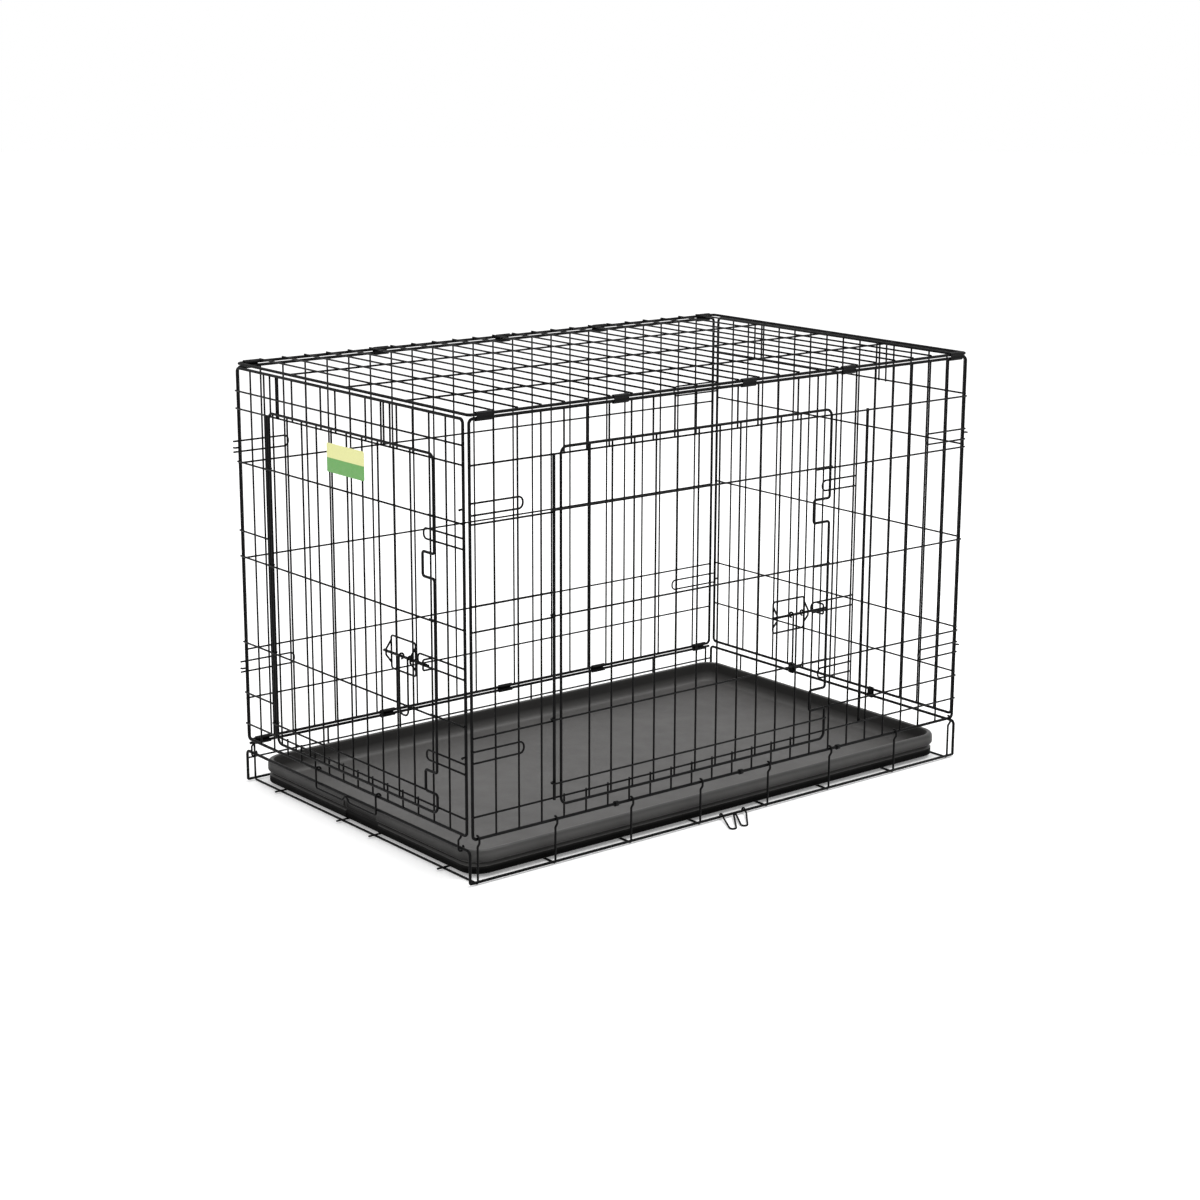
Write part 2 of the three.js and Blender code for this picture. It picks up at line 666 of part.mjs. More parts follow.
const fromRight = CLIP_AT.map((u) => LENGTH - u);
const crate = new THREE.Group();
crate.add(
  wall(
    0,
    -HALF_L,
    -HALF_W,
    mesh("front_panel", frontPanel()),
    mesh("side_door_rod", doorRod(SIDE_DOOR)),
    mesh("side_keeper", keeper(SIDE_DOOR)),
    mesh("side_door", door(SIDE_DOOR)),
    mesh("side_bolt", bolt(SIDE_DOOR)),
    mesh("side_lever", lever(SIDE_DOOR)),
    ...sleeves("front_top_clip", CLIP_AT, WALL_TOP + STACK / 2, CLIP_LENGTH, STACK),
    ...sleeves("front_bottom_clip", COLLAR_AT, SIDE_FOOT, COLLAR_LENGTH, COLLAR_TALL),
  ),
  wall(
    PI,
    HALF_L,
    HALF_W,
    mesh("rear_panel", rearPanel()),
    ...sleeves("rear_top_clip", fromRight, WALL_TOP + STACK / 2, CLIP_LENGTH, STACK),
    ...sleeves("rear_bottom_clip", fromRight, SIDE_FOOT - STACK / 2, CLIP_LENGTH, STACK),
  ),
  wall(
    -PI / 2,
    -END_X,
    HALF_W,
    mesh("left_end_panel", leftEndPanel()),
    ...hingeEyes(),
    ...endHooks("left_end_hook"),
    mesh("end_door_rod", doorRod(END_DOOR)),
    mesh("end_keeper", keeper(END_DOOR)),
    mesh("end_door", door(END_DOOR)),
    mesh("end_bolt", bolt(END_DOOR)),
    mesh("end_lever", lever(END_DOOR)),
    mesh("label_card", labelCard(), paper),
    mesh("pan_stop", panStop()),
  ),
  wall(
    PI / 2,
    END_X,
    -HALF_W,
    mesh("right_end_panel", rightEndPanel()),
    ...endHooks("right_end_hook"),
    ...sleeves("right_end_ring", RING_AT, (END_FOOT + RIGHT_ROD) / 2, RING_LENGTH, END_FOOT - RIGHT_ROD),
  ),
  placed(mesh("top_panel", topPanel()), -HALF_L, -HALF_W, ROOF),
  mesh("base_frame", baseFrame()),
  mesh("pan", pan(), plastic),
  mesh("storage_catch", storageCatch()),
);

// The row's origin is the middle of the whole object's box, on the floor.
const bounds = new THREE.Box3().setFromObject(crate);
const middle = bounds.getCenter(v3(0, 0, 0));
crate.position.set(-middle.x, -middle.y, -bounds.min.z);

export default crate;
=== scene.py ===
import math

import bpy
from bpy.props import FloatProperty, FloatVectorProperty, IntProperty, PointerProperty
from mathutils import Matrix, Vector


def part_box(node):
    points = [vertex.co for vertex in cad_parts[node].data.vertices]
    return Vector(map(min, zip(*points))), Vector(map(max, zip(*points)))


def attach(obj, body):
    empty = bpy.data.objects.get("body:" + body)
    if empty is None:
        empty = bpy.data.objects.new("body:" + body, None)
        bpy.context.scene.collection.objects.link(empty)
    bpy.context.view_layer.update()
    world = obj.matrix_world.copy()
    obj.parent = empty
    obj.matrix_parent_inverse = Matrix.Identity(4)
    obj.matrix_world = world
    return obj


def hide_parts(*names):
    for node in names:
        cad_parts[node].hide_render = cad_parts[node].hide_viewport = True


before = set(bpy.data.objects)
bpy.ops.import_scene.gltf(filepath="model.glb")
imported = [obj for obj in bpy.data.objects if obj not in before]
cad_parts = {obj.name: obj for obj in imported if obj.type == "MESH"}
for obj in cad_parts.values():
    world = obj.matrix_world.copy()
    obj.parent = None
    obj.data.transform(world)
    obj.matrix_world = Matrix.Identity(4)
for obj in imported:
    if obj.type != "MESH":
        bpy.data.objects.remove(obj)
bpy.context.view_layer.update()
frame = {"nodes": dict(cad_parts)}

bl_info = {
    "name": "Wire Dog Crate",
    "version": (1, 0, 0),
    "blender": (4, 5, 0),
    "location": "3D View > Sidebar > Crate",
    "description": "Builds the round wires, straps, tray and card of a folding dog crate on its packed frame",
    "category": "Add Mesh",
}

MM = 0.001

# ---- Sizes in millimetres, counted from the crate's own middle line and base plane ----

LENGTH, WIDTH = 926.0, 577.0
SIDE_FOOT, END_FOOT, WALL_TOP = 58.5, 63.0, 628.0
LEFT_ROD, RIGHT_ROD = 43.0, 52.0
END_GAP, END_INSET = 5.0, 6.5
BASE_DROP = 7.0
FRAME_CORNER, DOOR_CORNER, JOG_CORNER = 6.0, 10.0, 4.0
SIDE_BAYS, END_BAYS = 24, 15
SIDE_PITCH = LENGTH / SIDE_BAYS
END_PITCH = (WIDTH - 2 * END_INSET) / END_BAYS
END_LEFT, END_RIGHT = END_INSET, WIDTH - END_INSET
SIDE_PLACES = [k * SIDE_PITCH for k in range(1, SIDE_BAYS)]
END_PLACES = [END_INSET + k * END_PITCH for k in range(1, END_BAYS)]
END_X = LENGTH / 2 + END_GAP
HALF_L, HALF_W = LENGTH / 2, WIDTH / 2

# Heights of the layers of wire above a wall's plane.
CROSS_W, UP_W, ROD_W = 2.8, 0.6, 5.6
DOOR_CROSS_W, DOOR_W, DOOR_UP_W = 9.7, 7.1, 7.5
BOLT_W, STAPLE_W = 14.7, 18.6
ROD_LOOP, BOLT_LOOP = 4.1, 3.9
LAP = 1.9  # how far a wire runs past the one it is welded to
REAR_LAP = 10.0  # how far the rear wall's catches run past its frame
STACK = 5.3  # between the middles of two frame wires that a strap holds
ROOF = WALL_TOP + STACK
REAR_ROD = SIDE_FOOT - STACK

# A door and its doorway: heights count from the base plane, the rest across the wall from its left.

SIDE_DOOR = {
    "rod": 133.5, "left": 144, "right": 640, "foot": 81, "top": 577.5,
    "crosses": (113.5, 204.2, 349.5, 494),
    "uprights": [k * SIDE_PITCH for k in range(5, 16)],
    "jogs": ((129, 160), (412.5, 447)), "jog_depth": 31, "rails": (91, 568),
    "bolt": 284.5, "bolt_ends": (526, 630), "plate": (530, 591), "lever": (562, 583),
    "keeper": 622, "keeper_end": 612, "stops": ((465, 15), (182, 15)), "stop_end": 629,
    "stop_root": 18 * SIDE_PITCH + LAP, "edge_bay": 16,
    "rod_side": (200.6, 345.7, 380.5, 490), "edge_side": (128, 200.6, 345.7, 490),
}
END_DOOR = {
    "rod": 96, "left": 103.5, "right": 513, "foot": 81, "top": 575,
    "crosses": (110, 218.4, 350.1, 492.7),
    "uprights": [115.3 + k * 38.35 for k in range(10)],
    "jogs": ((108, 138), (407, 441)), "jog_depth": 27, "rails": (88, 568.5),
    "bolt": 288.5, "bolt_ends": (401, 507), "plate": (412, 470), "lever": (443, 463.5),
    "keeper": 500, "keeper_end": 465, "stops": ((464.5, 14.5), (157.5, 14)), "stop_end": 483,
    "stop_root": END_RIGHT + LAP, "edge_bay": 13,
    "rod_side": (136.5, 215.1, 346.8, 386, 489.4), "edge_side": (216, 348.6, 490.8),
}
DOOR_LAP = 1.7
PLATE_LOW, PLATE_HIGH, PLATE_CORNER = 24.0, 22.5, 4.0  # the latch plate below and above the bolt
STAPLE_SPLAY = 12.0
LEVER_DROP = 80.0
KEEPER_RISE = 15.0

# The walls' other wires, hooks and catches.
STOUT_UPRIGHT = 720.0  # a frame wire between the front wall's rails
REAR_CROSSES = (124, 200, 341, 485)
RIGHT_CROSSES = (131, 203, 347, 492, 570)
LEFT_TOP_CROSS = 594.5
PRONGS = (98.0, 114.5, 389.0, 404.0)  # short uprights in pairs, at the top of both ends
CATCH_HEIGHTS = (510.0, 174.0)
CATCH_REACH, CATCH_RISE = 84.0, 16.0
HOOK_OUT, HOOK_SIDE = 8.0, 3.8
EYE_REACH, EYE_IN = 4.2, 14.0  # an eye's radius, and how far in from the left end's corners its eyes stand
NECK_TOP, NECK_LOW = 58.5, 55.0  # heights of the two bends that lead to an eye

# The base. Stems are the wires across the floor, placed by the front wall's bays.
STEMS = (0.2, 3.62, 7.12, 10.47, 13.88, 17.12, 20.7, 23.8)
STEM_HOLD = 4.3  # bend of a stem's hook round the front wall's foot
STEM_KNEE, STEM_NECK = 47.0, 53.2  # heights of the bends below that hook
STEM_TIP = 1.5  # how far the hook's tip reaches in past the wall
RUNNER_Z, INNER_Z, FLOOR_Z = -2.83, -3.43, -5.4
INNER_Y, OUTER_Y = 42.0, 211.0
GUIDE_Y, GUIDE_Z = 290.79, 30.0  # the wire along the rear, beside the tray

# Straps, collars and rings along their walls, and the strip that they are bent from.
CLIPS = [bay * SIDE_PITCH for bay in (0.6, 6.5, 12.5, 17.56, 23.4)]
COLLARS = (247.0, 481.0, 677.0)
RINGS = (184.0, 372.0)
STRAP_SPAN, COLLAR_SPAN, RING_SPAN = 26.0, 6.0, 8.0
COLLAR_APART = 0.6
STRAP_BORE, STRAP_SIDES = 2.7, 16
STRAP_MARGIN, STRAP_SEAM = 0.9, 0.8  # what is left round the crimp, and beside the opening at the back
STRAP_EDGE = 0.22

# The tray stop across the left end, the height of its bar, and the rise of its thumb bend.
STOP_LEFT, STOP_RIGHT, STOP_FOOT, STOP_THUMB = 201.0, 357.0, 36.0, 9.0

# The storage catch: it is hooked over the front runner, and its legs lie out and aside on the floor.
STORE_HOLD, STORE_OUT, STORE_ASIDE, STORE_FOOT = 3.9, 42.0, 29.0, -5.5
# Along the runner: its hooks, the middles of its turns, and the peak between them.
STORE_HOOKS, STORE_TURNS, STORE_PEAK = (-17.5, 26.0), (-6.5, 15.25), (2.5, 6.5)
STORE_HALF_TURN = 5.5

# The tray: the foot and top of the plain band round it, and its rings as (how far in from the edge, height).
TRAY_SEAM, TRAY_LIP = 22.0, 27.5
TRAY_RIM = ((0.7, 30), (2.2, 32), (4.2, 33), (6.4, 33), (8.4, 32.1), (9.8, 30), (10.5, 27))
TRAY_DISH = ((11.3, 8), (12.3, 4.4), (14.6, 2.0), (18.5, 0.9), (30, 0.9))
TRAY_GROOVE = ((0, 18.6), (0.5, 17.2), (1.6, 16), (4.6, 14.8), (5.4, 13.6), (5.4, 12.2), (4.4, 10.6), (3, 9.2))
TRAY_FOOT = ((3, -0.6), (4, -1.6))
TRAY_RIM_FADE = (26, 31)  # between these heights the colour changes to the rim's
GRIP_MIDDLE, GRIP_HEIGHT, GRIP_ROUND = 10.0, 34.0, 3.0

# The card: its size, its place on the left wall, and the lines that it is bowed along.
CARD_WIDE, CARD_TALL, CARD_THICK, CARD_EDGE = 93.0, 41.0, 0.6, 0.12
CARD_LEFT, CARD_FOOT, CARD_W = 260.0, 514.0, 9.25
CARD_CUTS = (-38, -28, -18, -8, 8, 18, 28, 38)

# ---- The studio, in metres, radians and watts ----

FLOOR_RADIUS = 16.0
GLOW_START, GLOW_END = 0.7, 2.0  # from the middle of the floor
GLOW_NEAR, GLOW_FAR = 0.19, 0.4
AIR_LIGHT = 0.66
LAMPS = (
    ("key_light", (1.7, -1.4, 3.3), 1.6, 46),
    ("end_light", (-3.1, -0.9, 1.7), 1.6, 20),
    ("top_light", (0.2, -0.3, 3.4), 2.2, 44),
)
LAMP_TARGET = (0, 0, 0.3)
CAMERA_PLACE = (-2.25176, -2.76710, 1.15841)
CAMERA_TURN, CAMERA_TIP, CAMERA_ROLL = 0.677378, -0.242849, 0.003336
CAMERA_SENSOR, CAMERA_LENS = 36, 72.78  # millimetres
WHITE = (1, 1, 1, 1)


def length(text, about, default):
    return FloatProperty(name=text, description=about, default=default * MM, min=0.0002, unit="LENGTH")


def colour(text, about, default):
    return FloatVectorProperty(name=text, description=about, default=default, size=3, subtype="COLOR", min=0, max=1)


class CrateWires(bpy.types.PropertyGroup):
    """Thicknesses of the crate's wires, as radii."""

    frame: length("Frame wire", "Radius of the walls' frames, the base hoops and the hinge rods", 2.2)
    grille: length("Grille wire", "Radius of the walls' thin wires", 1.4)
    door: length("Door frame", "Radius of the doors' frames", 2.0)
    bolt: length("Slide bolt", "Radius of the slide bolts and the outer runners", 2.0)
    floor: length("Floor wire", "Radius of the wires that cross the floor", 1.6)
    eye: length("Hinge eye", "Radius of the wire of the hinge eyes and the tray stop", 1.5)
    sides: IntProperty(name="Sides", description="Sides of a wire's section", default=10, min=6, max=24)
    bend_steps: IntProperty(name="Bend steps", description="Steps to a quarter turn", default=5, min=2, max=16)
    end_chamfer: length("Cut ends", "Chamfer at a wire's cut ends", 0.35)


class CrateFittings(bpy.types.PropertyGroup):
    """Straps, tray and card."""

    strap_wall: length("Strap", "Thickness of the straps that hold two wires", 1.0)
    strap_crimp: length("Crimp", "How far a strap is pressed in between its wires", 0.7)
    tray_corner: length("Tray corner", "Rounding of the tray's four corners", 34.0)
    grip_width: length("Finger grip", "Width of the grip in the tray's end", 84.0)
    grip_depth: length("Grip depth", "How far the grip is let into the tray's end", 5.0)
    card_corner: length("Card corner", "Rounding of the card's corners", 2.5)
    card_curl: length("Card curl", "How far the card bows outwards in its middle", 0.3)


class CrateFinish(bpy.types.PropertyGroup):
    """Colours."""

    wire: colour("Wire", "Coating of the wires", (0.0028, 0.0028, 0.003))
    strap: colour("Strap", "Coating of the straps", (0.003, 0.003, 0.0032))
    tray: colour("Tray", "Moulded tray", (0.07, 0.068, 0.066))
    card_top: colour("Card, upper half", "Pale half of the card", (0.92, 0.92, 0.42))
    card_low: colour("Card, lower half", "Green half of the card", (0.12, 0.40, 0.09))
    floor: colour("Floor", "Studio floor", (0.7, 0.7, 0.7))


# ---- Places ----------------------------------------------------------------------------


def middle():
    """The crate's own origin: the middle of its walls, on the plane that heights are counted from."""
    front, end, base = (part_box(node) for node in ("front_panel", "left_end_panel", "base_frame"))
    return Vector(((front[0].x + front[1].x) / 2, (end[0].y + end[1].y) / 2, base[0].z + BASE_DROP * MM))


MIDDLE = middle()


def spot(x, y, z):
    return MIDDLE + Vector((x, y, z)) * MM


class Wall:
    """A wall's own frame: u across, v up and w outwards, seen from outside."""

    def __init__(self, corner, across, up, out):
        self.corner = spot(*corner)
        self.across, self.up, self.out = Vector(across), Vector(up), Vector(out)

    def at(self, u, v, w=0.0):
        return self.corner + (self.across * u + self.up * v + self.out * w) * MM

    def matrix(self, u, v, w=0.0):
        turn = Matrix((self.across, self.up, self.out)).transposed().to_4x4()
        return Matrix.Translation(self.at(u, v, w)) @ turn


FRONT = Wall((-HALF_L, -HALF_W, 0), (1, 0, 0), (0, 0, 1), (0, -1, 0))
REAR = Wall((HALF_L, HALF_W, 0), (-1, 0, 0), (0, 0, 1), (0, 1, 0))
LEFT = Wall((-END_X, HALF_W, 0), (0, -1, 0), (0, 0, 1), (-1, 0, 0))
RIGHT = Wall((END_X, -HALF_W, 0), (0, 1, 0), (0, 0, 1), (1, 0, 0))
TOP = Wall((-HALF_L, -HALF_W, ROOF), (1, 0, 0), (0, 1, 0), (0, 0, 1))
BASE = Wall((0, 0, 0), (1, 0, 0), (0, 1, 0), (0, 0, 1))


# ---- Wires -------------------------------------------------------------------------------

NO_RUN, NO_TURN = 1e-6, 0.01  # a length in metres and an angle in radians too small to count
BEND_SLACK, WELD, NEAR = 5e-5, 2e-5, 1e-5  # metres
STAND_OUT = 0.004  # how far a piece may stand outside the solids that it stands for
LONGEST_ARC = 80  # degrees between two corners of a circle's route


def wires():
    return bpy.context.scene.crate_wires


def pick(*objects):
    bpy.ops.object.select_all(action="DESELECT")
    for item in objects:
        item.select_set(True)
    bpy.context.view_layer.objects.active = objects[-1]


def chamfer_ends(sides):
    bpy.ops.mesh.select_all(action="DESELECT")
    bpy.ops.mesh.select_face_by_sides(number=sides, type="EQUAL")
    bpy.ops.mesh.bevel(offset=wires().end_chamfer, segments=1, affect="EDGES")


def straight(start, end, radius):
    """One straight wire with chamfered ends."""
    sides = wires().sides
    run = end - start
    bpy.ops.object.select_all(action="DESELECT")
    bpy.ops.mesh.primitive_cylinder_add(
        vertices=sides, radius=radius, depth=run.length, location=(start + end) / 2,
        rotation=run.to_track_quat("Z", "Y").to_euler(),
    )
    bpy.ops.object.mode_set(mode="EDIT")
    chamfer_ends(sides)
    bpy.ops.object.mode_set(mode="OBJECT")
    return bpy.context.object


def copied(item, step):
    pick(item)
    bpy.ops.object.duplicate_move(OBJECT_OT_duplicate={"linked": False}, TRANSFORM_OT_translate={"value": step})
    return bpy.context.object


def row_of(start, end, radius, steps):
    """A straight wire and its copies, each moved by a step from the first."""
    first = straight(start, end, radius)
    return [first] + [copied(first, step) for step in steps]


def circle_route(centre, first, second, radius, start, stop):
    """Route along a circle between two angles in degrees, counted from first towards second."""
    parts = max(1, math.ceil(abs(stop - start) / LONGEST_ARC))
    step = math.radians(stop - start) / parts
    begin = math.radians(start)

    def place(angle, reach):
        return centre + (first * math.cos(angle) + second * math.sin(angle)) * reach * MM

    corners = [(place(begin + (i + 0.5) * step, radius / math.cos(step / 2)), radius) for i in range(parts)]
    return [(place(begin, radius), 0), *corners, (place(begin + parts * step, radius), 0)]


def bent(route, radius, closed=False):
    """Pushes a round wire along a route of (place, bend radius) and returns it."""
    sizes = wires()
    if closed:
        start = (route[-1][0] + route[0][0]) / 2
        route = [(start, 0), *route, (start, 0)]
    here = route[0][0]
    heading = (route[1][0] - here).normalized()
    bpy.ops.object.select_all(action="DESELECT")
    bpy.ops.mesh.primitive_circle_add(
        vertices=sizes.sides, radius=radius, fill_type="NGON", location=here,
        rotation=heading.to_track_quat("Z", "Y").to_euler(),
    )
    bpy.ops.object.mode_set(mode="EDIT")
    for i, (place, bend) in enumerate(route[1:], 1):
        last = i == len(route) - 1
        if (place - here).length > NO_RUN:
            heading = (place - here).normalized()
        onward = heading if last else (route[i + 1][0] - place).normalized()
        turn = heading.angle(onward)
        if not last and turn < NO_TURN:
            continue
        cut = bend * MM * math.tan(turn / 2)
        run = (place - here).length - cut
        if run > NO_RUN:
            bpy.ops.mesh.extrude_region_move(TRANSFORM_OT_translate={"value": heading * run})
        elif run < -BEND_SLACK:
            raise RuntimeError(f"a bend of {bend} mm doesn't fit on this wire")
        if turn > NO_TURN:
            axis = heading.cross(onward).normalized()
            centre = place - heading * cut + axis.cross(heading) * bend * MM
            steps = max(2, math.ceil(turn / (math.pi / 2) * sizes.bend_steps))
            bpy.ops.mesh.spin(steps=steps, angle=-turn, center=centre, axis=axis)
        here = place + onward * cut
        heading = onward
    if closed:
        bpy.ops.mesh.select_all(action="DESELECT")
        bpy.ops.mesh.select_face_by_sides(number=sizes.sides, type="EQUAL")
        bpy.ops.mesh.delete(type="ONLY_FACE")
    else:
        chamfer_ends(sizes.sides)
    bpy.ops.mesh.select_all(action="SELECT")
    bpy.ops.mesh.remove_doubles(threshold=WELD)
    bpy.ops.mesh.normals_make_consistent(inside=False)
    bpy.ops.object.mode_set(mode="OBJECT")
    return bpy.context.object


def finished(parts, name, material, body, nodes, smooth=50):
    """Joins the parts into one piece with its place in its mesh, and puts it on its body."""
    pick(*parts)
    if len(parts) > 1:
        bpy.ops.object.join()
    piece = bpy.context.object
    bpy.ops.object.transform_apply(location=True, rotation=True, scale=True)
    bpy.ops.object.shade_smooth_by_angle(angle=math.radians(smooth))
    piece.name = piece.data.name = name
    piece.data.materials.clear()
    piece.data.materials.append(material)
    corners = [Vector(corner) for corner in piece.bound_box]
    boxes = [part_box(node) for node in nodes]
    for axis in range(3):
        low = min(box[0][axis] for box in boxes) - STAND_OUT
        high = max(box[1][axis] for box in boxes) + STAND_OUT
        if min(c[axis] for c in corners) < low or max(c[axis] for c in corners) > high:
            raise RuntimeError(f"{name} stands outside {nodes}")
    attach(piece, body)
    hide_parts(*nodes)
    return piece


# ---- Parts of a wall ------------------------------------------------------------------------


def rectangle(wall, left, right, foot, top, radius, bend, w=0.0):
    corners = ((left, foot), (right, foot), (right, top), (left, top))
    return bent([(wall.at(u, v, w), bend) for u, v in corners], radius, closed=True)


def uprights(wall, places, low, high, w=UP_W):
    steps = [wall.at(u, 0) - wall.at(places[0], 0) for u in places[1:]]
    return row_of(wall.at(places[0], low, w), wall.at(places[0], high, w), wires().grille, steps)


def crosses(wall, left, right, heights, w=CROSS_W):
    steps = [wall.at(0, v) - wall.at(0, heights[0]) for v in heights[1:]]
    return row_of(wall.at(left, heights[0], w), wall.at(right, heights[0], w), wires().grille, steps)


def long_u(wall, turn, end, height, rise, w=CROSS_W):
    """A long U of wire laid on a wall, closed at turn."""
    low, high = height - rise / 2, height + rise / 2
    bend = rise * 0.45
    route = [(wall.at(turn, low, w), bend), (wall.at(turn, high, w), bend)]
    return bent([(wall.at(end, low, w), 0), *route, (wall.at(end, high, w), 0)], wires().grille)


def corner_catches(wall, tip):
    made = []
    for height in CATCH_HEIGHTS:
        made.append(long_u(wall, CATCH_REACH, -tip, height, CATCH_RISE))
        made.append(long_u(wall, LENGTH - CATCH_REACH, LENGTH + tip, height, CATCH_RISE))
    return made


def end_hooks(wall):
    made = []
    for v in CATCH_HEIGHTS:
        for u, way in ((END_LEFT, -1), (END_RIGHT, 1)):
            tip = wall.at(u + way * HOOK_SIDE, v, HOOK_OUT)
            route = [(wall.at(u, v, 0), 0), (wall.at(u, v, HOOK_OUT), 2), (tip, 0)]
            made.append(bent(route, wires().grille))
    return made


def staple(wall, u, v, foot, half, splay):
    route = [
        (wall.at(u, v - half - splay, foot), 0),
        (wall.at(u, v - half, STAPLE_W), 2.5),
        (wall.at(u, v + half, STAPLE_W), 2.5),
        (wall.at(u, v + half + splay, foot), 0),
    ]
    return bent(route, wires().grille)


def doorway(wall, spec):
    """The hinge rod, the stops behind the door's edge and the keeper that takes its bolt."""
    rod = spec["rod"]
    low, high = spec["rails"]
    made = [straight(wall.at(rod, low - LAP, ROD_W), wall.at(rod, high + LAP, ROD_W), wires().frame)]
    for v, rise in spec["stops"]:
        made.append(long_u(wall, spec["stop_end"], spec["stop_root"], v, rise))
    made.append(long_u(wall, spec["keeper_end"], spec["stop_root"], spec["bolt"], KEEPER_RISE))
    made.append(staple(wall, spec["keeper"], spec["bolt"], CROSS_W, KEEPER_RISE / 2, 0))
    return made


def door(wall, spec):
    left, right, foot, top = (spec[key] for key in ("left", "right", "foot", "top"))
    outline = [(left, foot, DOOR_CORNER), (right, foot, DOOR_CORNER)]
    inner = right - spec["jog_depth"]
    for low, high in spec["jogs"]:
        outline += [(u, v, JOG_CORNER) for u, v in ((right, low), (inner, low), (inner, high), (right, high))]
    outline += [(right, top, DOOR_CORNER), (left, top, DOOR_CORNER)]
    made = [bent([(wall.at(u, v, DOOR_W), bend) for u, v, bend in outline], wires().door, closed=True)]
    made += uprights(wall, spec["uprights"], foot, top, DOOR_UP_W)
    lowest, *others = spec["crosses"]
    curl = circle_route(wall.at(spec["rod"], lowest, ROD_W), wall.across, wall.out, ROD_LOOP, 315, 90)
    loop = bent([*curl, (wall.at(right + DOOR_LAP, lowest, DOOR_CROSS_W), 0)], wires().grille)
    made += [loop, *(copied(loop, wall.up * (v - lowest) * MM) for v in others)]
    start, end = spec["plate"]
    bolt = spec["bolt"]
    low, high = bolt - PLATE_LOW, bolt + PLATE_HIGH
    made.append(rectangle(wall, start, end, low, high, wires().grille, PLATE_CORNER, DOOR_CROSS_W))
    first = staple(wall, start, bolt, DOOR_CROSS_W, BOLT_LOOP, STAPLE_SPLAY)
    return [*made, first, copied(first, wall.across * (end - start) * MM)]


# ---- Finishes ---------------------------------------------------------------------------------


class Nodes:
    """Short ways to add and join the nodes of a material or of the world.

    fit stretches a value from one range to another, and blend mixes two colours by a factor.
    """

    def __init__(self, owner):
        owner.use_nodes = True
        self.owner, self.tree = owner, owner.node_tree
        self.shader = self.tree.nodes.get("Principled BSDF") or self.tree.nodes["Background"]

    @property
    def object(self):
        return self.add("ShaderNodeTexCoord").outputs["Object"]

    def add(self, kind, inputs=(), **settings):
        node = self.tree.nodes.new(kind)
        for key, value in settings.items():
            setattr(node, key, value)
        for key, value in dict(inputs).items():
            self.put(value, node.inputs[key])
        return node

    def put(self, value, socket):
        if isinstance(value, bpy.types.NodeSocket):
            self.tree.links.new(value, socket)
        else:
            socket.default_value = value

    def noise(self, scale, detail=3.0, roughness=0.55, where=None):
        inputs = {"Vector": where or self.object, "Scale": scale, "Detail": detail, "Roughness": roughness}
        return self.add("ShaderNodeTexNoise", inputs).outputs["Fac"]

    def stretched(self, x, y, z):
        return self.add("ShaderNodeMapping", {"Vector": self.object, "Scale": (x, y, z)}).outputs["Vector"]

    def fit(self, value, low, high, to_low, to_high):
        inputs = {"Value": value, "From Min": low, "From Max": high, "To Min": to_low, "To Max": to_high}
        return self.add("ShaderNodeMapRange", inputs).outputs["Result"]

    def blend(self, factor, first, second):
        node = self.add("ShaderNodeMix", data_type="RGBA")
        for key, value in ((0, factor), (6, first), (7, second)):
            self.put(value, node.inputs[key])
        return node.outputs[2]

    def bump(self, height, distance, strength=1.0, under=None):
        inputs = {"Height": height, "Distance": distance, "Strength": strength}
        if under is not None:
            inputs["Normal"] = under
        return self.add("ShaderNodeBump", inputs).outputs["Normal"]

    def maths(self, operation, *values):
        node = self.add("ShaderNodeMath", operation=operation)
        for i, value in enumerate(values):
            self.put(value, node.inputs[i])
        return node.outputs[0]


def rgba(value, by=1.0):
    return (*(min(1.0, c * by) for c in value), 1.0)


def wire_coat():
    """Satin black coating, with a fine orange peel and a few dull rubbed spots."""
    name = "satin_wire_coat"
    if name in bpy.data.materials:
        return bpy.data.materials[name]
    made = Nodes(bpy.data.materials.new(name))
    base = bpy.context.scene.crate_finish.wire
    rubbed = made.fit(made.noise(38, 4, 0.6), 0.56, 0.72, 0, 1)
    made.put(made.blend(rubbed, rgba(base), rgba(base, 1.9)), made.shader.inputs["Base Color"])
    made.put(made.fit(made.noise(210, 2), 0.35, 0.68, 0.34, 0.5), made.shader.inputs["Roughness"])
    made.put(made.bump(made.noise(1500, 2), 0.00006, 0.6), made.shader.inputs["Normal"])
    made.shader.inputs["Specular IOR Level"].default_value = 0.07
    return made.owner


def strap_coat():
    """The same black on pressed strip, with faint lines along the strip."""
    name = "pressed_strap_coat"
    if name in bpy.data.materials:
        return bpy.data.materials[name]
    made = Nodes(bpy.data.materials.new(name))
    base = bpy.context.scene.crate_finish.strap
    lines = made.noise(90, 3, 0.6, made.stretched(1, 9, 9))
    rubbed = made.fit(lines, 0.5, 0.75, 0, 1)
    made.put(made.blend(rubbed, rgba(base), rgba(base, 2.2)), made.shader.inputs["Base Color"])
    made.put(made.fit(lines, 0.3, 0.7, 0.36, 0.52), made.shader.inputs["Roughness"])
    made.put(made.bump(made.noise(1100, 2), 0.00008, 0.6), made.shader.inputs["Normal"])
    made.shader.inputs["Specular IOR Level"].default_value = 0.09
    return made.owner


